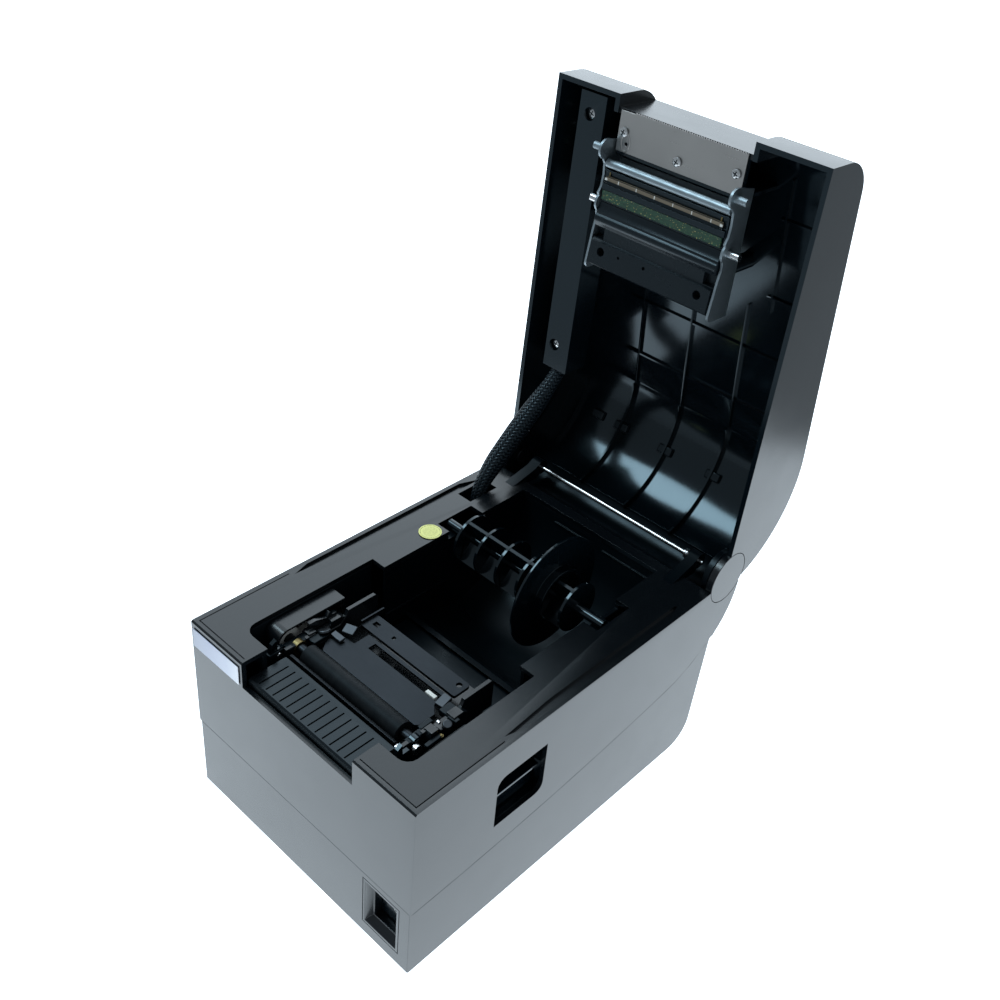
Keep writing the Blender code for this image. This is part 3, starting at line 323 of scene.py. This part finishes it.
def board_paint():
    """Solder resist over fine traces, with small gilt pads."""
    p = Paint("board_finish", (0.02, 0.09, 0.05), 0.4)
    traces = p.noise(0.0005, 2.0, (5.0, 1.0, 1.0))
    base = p.ramp(traces, [(0.0, (0.004, 0.020, 0.012)), (0.5, (0.008, 0.038, 0.022)),
                           (0.62, (0.016, 0.070, 0.034))])
    pads = p.ramp(p.noise(0.0007, 0.0), [(0.0, BLACK), (0.71, BLACK), (0.74, WHITE)])
    mix = p.node("ShaderNodeMix")
    mix.data_type = "RGBA"
    p.link(pads, mix.inputs["Factor"])
    p.link(base, mix.inputs[6])
    mix.inputs[7].default_value = (0.42, 0.36, 0.12, 1.0)
    p.link(mix.outputs[2], p.shader.inputs["Base Color"])
    p.bump(traces, 0.00003)
    return p.material


def ceramic_paint():
    p = Paint("ceramic_finish", (0.36, 0.29, 0.19), 0.3)
    p.vary_colour(p.noise(0.002, 3.0, (12.0, 1.0, 1.0)), (0.10, 0.08, 0.055), (0.20, 0.16, 0.11))
    p.bump(p.noise(0.0005, 2.0, (10.0, 1.0, 1.0)), 0.00001)
    return p.material


def plain_metal(name, colour, roughness, along=(14.0, 1.0, 1.0), depth=0.000003):
    """Plated sheet: an even colour with fine streaks that only the gloss shows."""
    p = Paint(name, colour, roughness, 1.0)
    streaks = p.noise(0.0005, 3.0, along)
    p.vary_colour(p.noise(0.03, 2.0), shade(colour, 0.93), shade(colour, 1.05))
    p.vary_roughness(streaks, roughness * 0.85, roughness * 1.2)
    p.bump(streaks, depth)
    return p.material


def braid_paint():
    """Glossy monofilament yarns with hardly any light between them."""
    p = Paint("braid_finish", (0.003, 0.007, 0.011), 0.24)
    p.set("Specular Tint", (*NIGHT, 1.0))
    p.vary_colour(p.noise(0.0012, 3.0), (0.0010, 0.0025, 0.0045), (0.004, 0.008, 0.012))
    p.vary_roughness(p.noise(0.0015, 2.0), 0.16, 0.36)
    p.bump(p.noise(0.0003, 2.0), 0.00003)
    return p.material


def distance_from(p, centre):
    """How far, in mm, the shaded point is from a point of the model."""
    away = p.node("ShaderNodeVectorMath")
    away.operation = "DISTANCE"
    away.inputs[1].default_value = centre
    p.link(p.place, away.inputs[0])
    return p.spread(away.outputs["Value"], 0.0, 1.0 / MM, 0.0, 1.0)


def sticker_paint():
    """A yellow paper seal with a mottled ring near its edge and a faint mottle inside it."""
    p = Paint("sticker_finish", (0.83, 0.80, 0.22), 0.4)
    yellow, olive, faint = (0.80, 0.80, 0.24), (0.42, 0.42, 0.09), (0.35, 0.35, 0.35)
    reach = p.spread(distance_from(p, at(*STICKER_MIDDLE)), 0.0, 1.0, 0.0, STICKER_REACH)
    ring = p.ramp(reach, [(0.0, faint), (0.62, faint), (0.66, BLACK), (0.80, BLACK), (0.82, WHITE),
                          (0.88, WHITE), (0.90, BLACK)], "CONSTANT")
    mottle = p.ramp(p.noise(0.0009, 2.0), [(0.48, (0.2, 0.2, 0.2)), (0.52, WHITE)])
    amount = p.node("ShaderNodeMath")
    amount.operation = "MULTIPLY"
    p.link(ring, amount.inputs[0])
    p.link(mottle, amount.inputs[1])
    p.link(p.ramp(amount.outputs["Value"], [(0.0, yellow), (1.0, olive)]), p.shader.inputs["Base Color"])
    return p.material


def plate_label_paint():
    """The blank name plate: silvery film, darker and bluer at its left end and lighter towards its right
    end, a painted reflection.
    """
    p = Paint("label_finish", (0.76, 0.78, 0.84), 0.3)
    split = p.node("ShaderNodeSeparateXYZ")
    p.link(p.place, split.inputs["Vector"])
    across = p.spread(split.outputs["X"], 0.0, 1.0, PLATE_LEFT * MM, PLATE_RIGHT * MM)
    # Painted reflection: the colour grades across the plate the way the silvery film's reflection would.
    p.link(p.ramp(across, [(0.0, (0.36, 0.39, 0.48)), (0.35, (0.42, 0.45, 0.58)), (0.75, (0.55, 0.58, 0.70)),
                           (1.0, (0.74, 0.76, 0.82))]), p.shader.inputs["Base Color"])
    p.bump(p.noise(0.0004, 3.0), 0.000005)
    return p.material


def make_finishes():
    black = (0.0030, 0.0046, 0.0062)
    deep = (0.0012, 0.0030, 0.0046)
    return {
        "case_plastic": moulded("case_finish", black, 0.22, depth=0.000012, tint=(0.95, 0.985, 1.0)),
        "satin_plastic": moulded("satin_finish", black, 0.26, depth=0.000012, specular=0.34, tint=NIGHT),
        "bin_plastic": moulded("bin_finish", deep, 0.12, depth=0.000004, waviness=0.0001, tint=NIGHT),
        "well_plastic": moulded("well_finish", deep, 0.30, depth=0.000010, specular=0.22, tint=NIGHT),
        "bright_steel": metal("bright_finish", (0.60, 0.61, 0.62), 0.22, (12.0, 1.0, 1.0)),
        "plate_steel": plain_metal("plate_finish", (0.021, 0.025, 0.029), 0.36),
        "zinc": plain_metal("zinc_finish", (0.26, 0.31, 0.34), 0.44),
        "dull_zinc": plain_metal("dull_zinc_finish", (0.075, 0.085, 0.095), 0.40),
        "brushed": plain_metal("brushed_finish", (0.40, 0.39, 0.38), 0.32, (60.0, 1.0, 1.0), 0.000001),
        "brass": metal("brass_finish", (0.21, 0.165, 0.075), 0.4),
        "rubber": rubber_paint(),
        "white_nylon": moulded("nylon_finish", (0.70, 0.70, 0.66), 0.45),
        "circuit_board": board_paint(),
        "ceramic": ceramic_paint(),
        "label": plate_label_paint(),
        "sticker": sticker_paint(),
        "light_pipe": moulded("lens_finish", (0.30, 0.50, 0.32), 0.15),
        "braid": braid_paint(),
    }


# ---- fine surfaces ----
OUTER, GLOSSY, DULL = 0, 1, 2              # the looks that a shell's faces can have
EDGE_RADIUS = {"lower_case": 0.7, "upper_case": 0.45, "lid_shell": 0.6, "name_plate": 0.0,
               "inspection_sticker": 0.0, "tear_bar": 0.12, "head_board": 0.1, "print_head": 0.2,
               "media_sensor": 0.2, "hinge_rod": 0.15, "platen_gear": 0.1, "idler_gear": 0.1,
               "motor_pinion": 0.1}
DEFAULT_RADIUS = 0.25
HARD_EDGE, BEVEL_STEPS = math.radians(30.0), 2
JOIN_WITHIN, FLAT_WITHIN = 0.000004, math.radians(0.8)
# Pieces whose surface differs from that of the others in their slot.
FINISH_OF = {"head_bracket": "zinc", "pressure_bar": "zinc", "tear_bar": "brushed",
             "cable_cover": "bin_plastic", "exit_tray": "satin_plastic", "head_cover": "satin_plastic"}
# Pieces made afresh, by braided_sleeve, hinge_clip and lid_screws.
REMADE = ("cable_sleeve", "hinge_clip", "tear_screw_1", "tear_screw_2", "tear_screw_3",
          "cover_screw_1", "cover_screw_2")

# The closed lid's outline in the design frame, mm: front round, sloping top, big rear round.
FRONT_ROUND, FRONT_ROUND_Z, TOP_SLOPE = 18.0, 121.5, math.radians(7.2)
REAR_ROUND, REAR_MIDDLE = 55.0, (165.0, 102.6)
SKIN = 1.2                                 # how far below the outer surface the glossy inside begins
LID_INSIDE, BARREL_INSIDE = 73.0, 12.6     # half width inside the lid; radius inside its barrel
EXIT_LOW_Y, EXIT_HALF = 8.6, 39.8          # the lid's front edge over the paper exit
# The upper case: deck, hinge trough, exit notch and roll bay, mm.
DECK_Z, REAR_DECK_Y, REAR_DECK_HALF = 105.5, 168.0, 60.0
TROUGH_R = 14.8
NOTCH_HALF, NOTCH_DEEP = 37.6, 15.0
CASE_INSIDE, BAY_R, BAY_MIDDLE = 74.5, 41.0, (181.5, 103.0)


def new_object(name, mesh):
    obj = bpy.data.objects.new(name, mesh)
    bpy.context.scene.collection.objects.link(obj)
    return obj


def closed(point):
    """A model point on the open lid, as (x, y, z) of the closed lid in the design frame, mm."""
    x, y, z = point.x / MM, (point.y - FRONT_Y) / MM - HINGE_Y, point.z / MM - FOOT_STAND - HINGE_Z
    c, s = math.cos(LID_OPEN), math.sin(LID_OPEN)
    return x, HINGE_Y + y * c - z * s, HINGE_Z + y * s + z * c


def depth_in_lid(y, z):
    """How far a point of the closed lid lies below its outer surface, in mm."""
    over_line = (z - FRONT_ROUND_Z) * math.cos(TOP_SLOPE) - (y - FRONT_ROUND) * math.sin(TOP_SLOPE)
    depths = [y, FRONT_ROUND - over_line]
    if y > REAR_MIDDLE[0]:
        depths.append(REAR_ROUND - math.dist((y, z), REAR_MIDDLE))
    if y < FRONT_ROUND and z > FRONT_ROUND_Z:
        depths.append(FRONT_ROUND - math.dist((y, z), (FRONT_ROUND, FRONT_ROUND_Z)))
    return min(depths)


def inside_lid(centre, normal):
    x, y, z = closed(centre)
    if abs(x) >= LID_INSIDE:
        return OUTER
    if math.dist((y, z), (HINGE_Y, HINGE_Z)) < BARREL_INSIDE:
        return DULL
    over_exit = y < EXIT_LOW_Y and abs(x) < EXIT_HALF
    return GLOSSY if depth_in_lid(y, z) > SKIN and not over_exit else OUTER


def inside_case(centre, normal):
    x, y, z = centre.x / MM, (centre.y - FRONT_Y) / MM, centre.z / MM - FOOT_STAND
    if z > DECK_Z and normal.z > 0.5:
        # Painted shade: the rear deck between the hinge ears gets the darker, duller well finish to stand
        # for the shade that falls there.
        return DULL if abs(x) < REAR_DECK_HALF and y > REAR_DECK_Y else OUTER
    if math.dist((y, z), (HINGE_Y, HINGE_Z)) < TROUGH_R:
        return GLOSSY
    notch = abs(x) < NOTCH_HALF and y < NOTCH_DEEP
    within = abs(x) < CASE_INSIDE and y > 1.0 and math.dist((y, z), BAY_MIDDLE) < BAY_R
    return GLOSSY if within and not notch else OUTER


def round_edges(obj, radius):
    """A bevel of a radius in mm on every hard edge."""
    bevel = obj.modifiers.new("edges", "BEVEL")
    bevel.width = radius * MM
    bevel.segments = BEVEL_STEPS
    bevel.limit_method = "ANGLE"
    bevel.angle_limit = HARD_EDGE
    return bevel


def refined(node, radius, inside=None):
    """The node's own shape with its faceted flats joined up and every hard edge rounded."""
    mesh = NODES[node].data.copy()
    bm = bmesh.new()
    bm.from_mesh(mesh)
    bmesh.ops.remove_doubles(bm, verts=bm.verts, dist=JOIN_WITHIN)
    bmesh.ops.dissolve_limit(bm, angle_limit=FLAT_WITHIN, verts=bm.verts, edges=bm.edges)
    bm.to_mesh(mesh)
    bm.free()
    mesh.materials.clear()
    mesh.materials.append(FINISH[FINISH_OF.get(node, SLOT_OF[node])])
    if inside:
        mesh.materials.append(FINISH["bin_plastic"])
        mesh.materials.append(FINISH["well_plastic"])
        for face in mesh.polygons:
            face.material_index = inside(face.center, face.normal)
    obj = new_object(node + "_finish", mesh)
    if radius:
        bevel = round_edges(obj, radius)
        bevel.harden_normals = True
        bevel.use_clamp_overlap = True
    mesh.shade_smooth()
    mesh.set_sharp_from_angle(angle=HARD_EDGE)
    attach(obj, BODY_OF[node])
    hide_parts(node)
    return obj


def smooth_route(points, samples):
    """Points on a Catmull-Rom curve through the route, with whatever else each point carries."""
    pts = [Vector(p) for p in points]
    pts = [2 * pts[0] - pts[1]] + pts + [2 * pts[-1] - pts[-2]]
    out = []
    for i in range(1, len(pts) - 2):
        p0, p1, p2, p3 = pts[i - 1:i + 3]
        for k in range(samples):
            t = k / samples
            out.append(0.5 * (2 * p1 + (p2 - p0) * t + (2 * p0 - 5 * p1 + 4 * p2 - p3) * t ** 2
                              + (3 * p1 - p0 - 3 * p2 + p3) * t ** 3))
    return out + [pts[-2]]


def turns(count):
    """Angles evenly spaced round a circle."""
    return [2 * math.pi * k / count for k in range(count)]


def joined(bm, rings):
    """Faces between each ring of corners and the next."""
    for low, high in zip(rings, rings[1:]):
        for i in range(len(low)):
            j = (i + 1) % len(low)
            bm.faces.new((low[i], low[j], high[j], high[i]))


def tube(bm, centres, sections):
    """Joins rings of points, one ring for each centre, into a tube with closed ends."""
    rings = [[bm.verts.new(c + offset) for offset in ring] for c, ring in zip(centres, sections)]
    joined(bm, rings)
    bm.faces.new(rings[0][::-1])
    bm.faces.new(rings[-1])


def loop(bm, centres, outs, side, wide, deep):
    """A closed wire through the centres, wide along each out and deep along the side, in metres."""
    rings = [[bm.verts.new(centre + out * math.cos(t) * wide + side * math.sin(t) * deep) for t in turns(6)]
             for centre, out in zip(centres, outs)]
    joined(bm, rings + rings[:1])
    bmesh.ops.recalc_face_normals(bm, faces=bm.faces)


def headings(centres):
    """The direction of a route at each of its centres."""
    last = len(centres) - 1
    return [(centres[min(i + 1, last)] - centres[max(i - 1, 0)]).normalized() for i in range(last + 1)]


SLEEVE_R = 4.3
SLEEVE_POINTS = [(-61.6, 171.0, 97.0), (-61.6, 172.0, 104.0), (-61.2, 175.5, 112.0), (-60.4, 182.0, 121.0),
                 (-59.2, 190.5, 131.0), (-57.8, 199.0, 141.0), (-56.2, 207.5, 151.0), (-54.6, 214.6, 160.5),
                 (-53.4, 219.8, 169.5), (-53.0, 222.0, 178.0)]
SLEEVE_SWELL = (1.0, 1.0, 1.15, 1.35, 1.4, 1.4, 1.3, 1.1, 0.97, 0.97)
YARNS, YARN_PITCH, YARN_WIDTH, YARN_THICK = 14, 30.0, 1.25, 0.7
YARN_LIFT, CORE_GAP = 0.34, 0.35           # how far a yarn weaves in and out; the core below the yarns
ROUTE_STEPS, BLEND_ENDS = 14, 8            # samples between two points; samples that stay with each end


def braided_sleeve():
    """A dark inner tube in two crossing families of flat yarns, each passing over two and under two."""
    route = smooth_route([(*p, r) for p, r in zip(SLEEVE_POINTS, SLEEVE_SWELL)], ROUTE_STEPS)
    centres = [at(*p[:3]) for p in route]
    radii = [SLEEVE_R * p[3] - YARN_THICK - YARN_LIFT for p in route]
    run = [0.0]
    for a, b in zip(centres, centres[1:]):
        run.append(run[-1] + (b - a).length / MM)
    frames = []
    for ahead in headings(centres):
        side = (Vector((1, 0, 0)) - ahead * ahead.x).normalized()
        frames.append((ahead, side, ahead.cross(side)))
    bm = bmesh.new()
    tube(bm, centres, [[(s * math.cos(a) + u * math.sin(a)) * (r - CORE_GAP) * MM for a in turns(24)]
                       for (_, s, u), r in zip(frames, radii)])
    step = 2 * math.pi / YARNS
    for way in (1, -1):
        for n in range(YARNS):
            middles, sections = [], []
            for centre, (ahead, side, up), r, along in zip(centres, frames, radii, run):
                wound = way * 2 * math.pi * along / YARN_PITCH
                angle = n * step + wound
                other = (angle + wound) / step
                wave = way * math.cos(math.pi / 2 * (other + n) + math.pi / 4)
                out = side * math.cos(angle) + up * math.sin(angle)
                round_way = up * math.cos(angle) - side * math.sin(angle)
                lean = way * math.atan(2 * math.pi * r / YARN_PITCH)
                across = round_way * math.cos(lean) - ahead * math.sin(lean)
                middles.append(centre + out * (r + YARN_LIFT * wave) * MM)
                sections.append([(across * YARN_WIDTH / 2 * math.cos(t)
                                  + out * YARN_THICK / 2 * math.sin(t)) * MM for t in turns(8)])
            tube(bm, middles, sections)
    bmesh.ops.recalc_face_normals(bm, faces=bm.faces)
    mesh = bpy.data.meshes.new("braided_sleeve")
    bm.to_mesh(mesh)
    bm.free()
    mesh.materials.append(FINISH["braid"])
    mesh.shade_smooth()
    obj = new_object("braided_sleeve", mesh)
    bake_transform(obj)
    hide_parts("cable_sleeve")


def barrel(bm, centre, along, radius, length, sides=24, end_radius=None):
    """A round bar about a point of the model, in mm, or a cone if it has another end_radius."""
    turn = Vector(along).to_track_quat("Z", "Y").to_matrix().to_4x4()
    bmesh.ops.create_cone(bm, cap_ends=True, segments=sides, radius1=radius * MM, depth=length * MM,
                          radius2=(radius if end_radius is None else end_radius) * MM,
                          matrix=Matrix.Translation(centre) @ turn)


def brick(bm, centre, right, ahead, size):
    """A block in mm, its first two edges along two directions."""
    right, ahead = Vector(right).normalized(), Vector(ahead).normalized()
    turn = Matrix((right, ahead, right.cross(ahead))).transposed().to_4x4()
    stretch = Matrix.Diagonal((*(e * MM for e in size), 1.0))
    made = bmesh.ops.create_cube(bm, size=1.0, matrix=Matrix.Translation(centre) @ turn @ stretch)
    return {f for v in made["verts"] for f in v.link_faces}


def piece(name, bm, finish, body, replaced=(), bevel=0.0, second=None):
    mesh = bpy.data.meshes.new(name)
    bm.to_mesh(mesh)
    bm.free()
    mesh.materials.append(FINISH[finish])
    if second:
        mesh.materials.append(FINISH[second])
    obj = new_object(name, mesh)
    if bevel:
        round_edges(obj, bevel)
    mesh.shade_smooth()
    mesh.set_sharp_from_angle(angle=math.radians(35.0))
    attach(obj, body)
    if replaced:
        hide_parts(*replaced)
    return obj


LID_X = Vector((1.0, 0.0, 0.0))
LID_Y = (at_lid(0, 1, 0) - at_lid(0, 0, 0)).normalized()
LID_DOWN = (at_lid(0, 0, 0) - at_lid(0, 0, 1)).normalized()     # out of the open lid, towards the viewer


# Each lid screw's seat on the closed lid and its head's radius, mm.
SCREW_HEADS = {"tear_screw_1": (-31.4, 15.9, 105.9, 2.2), "tear_screw_2": (0.2, 20.3, 105.9, 2.2),
               "tear_screw_3": (31.4, 15.9, 105.9, 2.2), "cover_screw_1": (-54.5, 14.4, 110.5, 2.4),
               "cover_screw_2": (-55.4, 136.6, 110.5, 2.4)}
RIM_HIGH, CROWN_HIGH, CROWN_TAPER = 0.7, 0.5, 0.62
RECESS_TURN, RECESS_WIDE, RECESS_DEEP = 0.35, 0.55, 0.46


def lid_screws():
    """Pan-head screws seen from under the lid, their cross recess drawn as dark plastic blocks: painted
    shade.
    """
    for name, (x, y, z, r) in SCREW_HEADS.items():
        seat = at_lid(x, y, z)
        bm = bmesh.new()
        barrel(bm, seat + LID_DOWN * RIM_HIGH / 2 * MM, LID_DOWN, r, RIM_HIGH, 32)
        barrel(bm, seat + LID_DOWN * (RIM_HIGH + CROWN_HIGH / 2) * MM, LID_DOWN, r, CROWN_HIGH, 32,
               r * CROWN_TAPER)
        # The cross recess is dark plastic blocks on the steel head: painted shade in the recess.
        dark = set()
        for turn in (RECESS_TURN, RECESS_TURN + math.pi / 2):
            side = LID_X * math.cos(turn) + LID_Y * math.sin(turn)
            dark |= brick(bm, seat + LID_DOWN * MM, side, side.cross(LID_DOWN),
                          (r * 1.25, RECESS_WIDE, RECESS_DEEP))
        for face in dark:
            face.material_index = 1
        piece(name + "_head", bm, "bright_steel", "lid", (name,), second="well_plastic")


CLIP_RINGS, CLIP_RING_THICK = ((48.6, 2.6), (49.9, 3.0), (51.2, 2.6)), 0.45      # place and radius, mm
CLIP_SLEEVE_X, CLIP_SLEEVE_R, CLIP_SLEEVE_LONG = 50.0, 1.75, 4.0


def hinge_clip():
    """The clip that keeps the hinge rod from sliding: three thin rings on a short sleeve."""
    bm = bmesh.new()
    for x, r in CLIP_RINGS:
        barrel(bm, at(x, HINGE_Y, HINGE_Z), (1, 0, 0), r, CLIP_RING_THICK, 24)
    barrel(bm, at(CLIP_SLEEVE_X, HINGE_Y, HINGE_Z), (1, 0, 0), CLIP_SLEEVE_R, CLIP_SLEEVE_LONG, 20)
    piece("hinge_clip_rings", bm, "bright_steel", "root", ("hinge_clip",))


# Blocks on the ceramic of the print head: piece, finish, slot, and each block's place and size, mm.
CERAMIC_FACE = 100.38
HEAD_BLOCKS = [
    ("head_marks", "white_nylon", "white_nylon",
     [((-26.0 + 10.6 * i, 37.6, CERAMIC_FACE), (0.5, 1.9, 0.06)) for i in range(6)]
     + [((x, 38.6, CERAMIC_FACE), (1.5, 2.2, 0.10)) for x in (-33.4, 32.6)]),
    # The two dark strips on the ceramic are painted shadow, not a glaze.
    ("ceramic_painted_shadow", "well_plastic", "bin_plastic",
     [((-0.4, 39.35, CERAMIC_FACE), (68.0, 1.5, 0.10)), ((-0.4, 36.75, CERAMIC_FACE), (68.0, 0.3, 0.10))]),
    ("head_contacts", "brass", "brass",
     [((x, 35.7, 101.3), (0.7, 2.2, 0.15)) for x in (-32.2, 31.6)]),
]
DIMPLE_MIDDLE, DIMPLE_REACH = (-30.2, 20.6, 106.15), (2.5, 4.2)
DIMPLE_WIDE, DIMPLE_HIGH = 0.55, 0.22


def head_details():
    """Marks, dark strips of painted shadow and gilt contacts on the ceramic, and the ring pressed into the
    tear bar.
    """
    for name, finish, slot, blocks in HEAD_BLOCKS:
        bm = bmesh.new()
        for place, size in blocks:
            brick(bm, at_lid(*place), LID_X, LID_Y, size)
        piece(name, bm, finish, "head")
    bm = bmesh.new()
    (x, y, z), (reach_x, reach_y) = DIMPLE_MIDDLE, DIMPLE_REACH
    centres = [at_lid(x + reach_x * math.cos(a), y + reach_y * math.sin(a), z) for a in turns(32)]
    outs = [LID_X * math.cos(a) + LID_Y * math.sin(a) for a in turns(32)]
    loop(bm, centres, outs, LID_DOWN, DIMPLE_WIDE * MM, DIMPLE_HIGH * MM)
    piece("tear_bar_dimple", bm, "brushed", "lid")


# Small parts at the ends of the paper guides, mm. A disc has a place, an axis, a radius, a length,
# its number of sides and, if it tapers, its far radius. A block has a place, two edge directions and a size.
ALONG, UP = (1, 0, 0), (0, 0, 1)
CLIP_DISCS = [((36.4, 25.4, 93.6), ALONG, 2.2, 0.9, 20), ((38.0, 25.4, 93.6), ALONG, 2.2, 0.5, 20),
              ((42.4, 31.0, 93.8), ALONG, 2.4, 2.2, 20), ((39.4, 46.6, 96.2), ALONG, 1.1, 1.6, 20),
              ((-39.9, 22.4, 94.8), ALONG, 1.5, 0.8, 20)]
CATCH_DISCS = [((43.6, 47.8, 97.6), (0.3, -0.2, 1.0), 2.4, 1.2, 24, 2.0),
               ((-37.4, 46.2, 97.4), (-0.4, 0.2, 1.0), 3.2, 1.2, 24, 2.9)]
CATCH_BLOCKS = [((-30.2, 55.6, 96.6), (1, 0.35, 0), (-0.35, 1, 0.3), (6.0, 5.0, 2.4)),
                ((31.6, 57.0, 96.0), (1, 0.1, 0), (-0.1, 1, 0.2), (4.6, 6.6, 2.0)),
                ((-31.0, 49.0, 96.2), (1, 0, 0), (0, 1, 0.15), (7.0, 3.2, 1.2))]
PIN_DISCS = [((45.4, 42.6, 95.4), UP, 1.1, 1.2, 16), ((45.4, 42.6, 96.2), UP, 0.8, 0.4, 16, 0.5)]
HOOK_BLOCKS = [(place, (1, 0.04, 0), (-0.04, 1, 0), size) for place, size in (
    ((-42.4, 21.0, 95.6), (4.0, 8.0, 3.0)), ((-40.6, 32.4, 96.0), (5.0, 12.0, 2.6)),
    ((-36.2, 42.0, 95.8), (4.4, 9.0, 2.4)), ((36.6, 41.4, 95.6), (2.6, 7.4, 3.6)),
    ((37.4, 54.6, 96.0), (5.4, 7.0, 3.4)), ((42.8, 52.4, 96.2), (5.4, 3.0, 3.0)),
    ((38.4, 33.4, 96.0), (3.4, 9.4, 2.2)), ((45.0, 38.0, 95.4), (2.4, 9.0, 1.6)))]
GUIDE_PARTS = [("bright_clips", "bright_steel", "bright_steel", 0.15, CLIP_DISCS, []),
               ("guide_catches", "dull_zinc", "plate_steel", 0.3, CATCH_DISCS, CATCH_BLOCKS),
               ("brass_pin", "brass", "brass", 0.15, PIN_DISCS, []),
               ("guide_hooks", "well_plastic", "bin_plastic", 0.35, [], HOOK_BLOCKS)]


def mechanism_details():
    """Clips, catches, hooks and a pin at the ends of the paper guides; their shapes are guesses."""
    for name, finish, slot, bevel, discs, blocks in GUIDE_PARTS:
        bm = bmesh.new()
        for place, *rest in discs:
            barrel(bm, at(*place), *rest)
        for place, *rest in blocks:
            brick(bm, at(*place), *rest)
        piece(name, bm, finish, "root", bevel=bevel)


MARK_ASIDE, MARK_UP = 0.002, 0.40          # metres right of the rocker's middle; share of its height
MARK_R, MARK_WIRE = 1.5 * MM, 0.22 * MM


def rocker_mark():
    """A raised ring on the rocker's lower half."""
    low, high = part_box("power_rocker")
    start = Vector(((low.x + high.x) / 2 + MARK_ASIDE, low.y - 0.01, low.z + (high.z - low.z) * MARK_UP))
    mesh = NODES["power_rocker"].data
    shape = BVHTree.FromPolygons([v.co for v in mesh.vertices], [p.vertices for p in mesh.polygons])
    centre = shape.ray_cast(start, (0.0, 1.0, 0.0))[0]
    bm = bmesh.new()
    outs = [Vector((math.cos(a), 0.0, math.sin(a))) for a in turns(28)]
    loop(bm, [centre + out * MARK_R for out in outs], outs, Vector((0, -1, 0)), MARK_WIRE, MARK_WIRE)
    piece("rocker_mark", bm, "white_nylon", "rocker")


CASE_HALF, LIP_R, LIP_CORNER, LIP_BACK = 75.0, 0.3, 0.8, 205
SEAM_Z, LIP_BELOW = 42.4, 0.22


def seam_height(y):
    """The seam rises towards the back, and more steeply near its end; all in mm."""
    return SEAM_Z + 14.0 * (y / 181.0) ** 2 + 10.0 * (max(0.0, y - 175.0) / 33.0) ** 2


def seam_lip():
    """The fine lip under the upper case's edge, all along the front and both sides."""
    side = CASE_HALF - LIP_R
    path = [(side, y) for y in range(LIP_BACK, 0, -12)]
    path += [(CASE_HALF - LIP_CORNER, LIP_R), (LIP_CORNER - CASE_HALF, LIP_R)]
    path += [(-side, y) for y in range(1, LIP_BACK + 1, 12)]
    centres = [at(x, y, seam_height(y) - LIP_BELOW) for x, y in path]
    sections = []
    for ahead in headings(centres):
        out = Vector((0, 0, 1)).cross(ahead).normalized()
        up = ahead.cross(out)
        sections.append([(out * math.cos(t) + up * math.sin(t)) * LIP_R * MM for t in turns(8)])
    bm = bmesh.new()
    tube(bm, centres, sections)
    bmesh.ops.recalc_face_normals(bm, faces=bm.faces)
    piece("seam_lip", bm, "case_plastic", "root")


GUSSETS = ((-31.0, 9.0), (0.0, 9.0), (32.0, 9.0), (-48.0, 8.0))          # place and width, mm
GUSSET_TURN, GUSSET_R, GUSSET_LONG, GUSSET_HIGH = math.radians(62.0), 51.8, 5.0, 2.4


def rib_gussets():
    """Small steps on the curved ribs inside the lid's rear round."""
    bm = bmesh.new()
    c, s = math.cos(GUSSET_TURN), math.sin(GUSSET_TURN)
    for x, width in GUSSETS:
        place = at_lid(x, REAR_MIDDLE[0] + GUSSET_R * c, REAR_MIDDLE[1] + GUSSET_R * s)
        brick(bm, place, LID_X, LID_Y * -s - LID_DOWN * c, (width, GUSSET_LONG, GUSSET_HIGH))
    piece("rib_gussets", bm, "satin_plastic", "lid", bevel=0.7)


FINISH = make_finishes()
camera()
studio()
INSIDE = {"lid_shell": inside_lid, "upper_case": inside_case}
for node in NODES:
    if node not in REMADE:
        refined(node, EDGE_RADIUS.get(node, DEFAULT_RADIUS), inside=INSIDE.get(node))
braided_sleeve()
lid_screws()
hinge_clip()
head_details()
mechanism_details()
rocker_mark()
rib_gussets()
seam_lip()
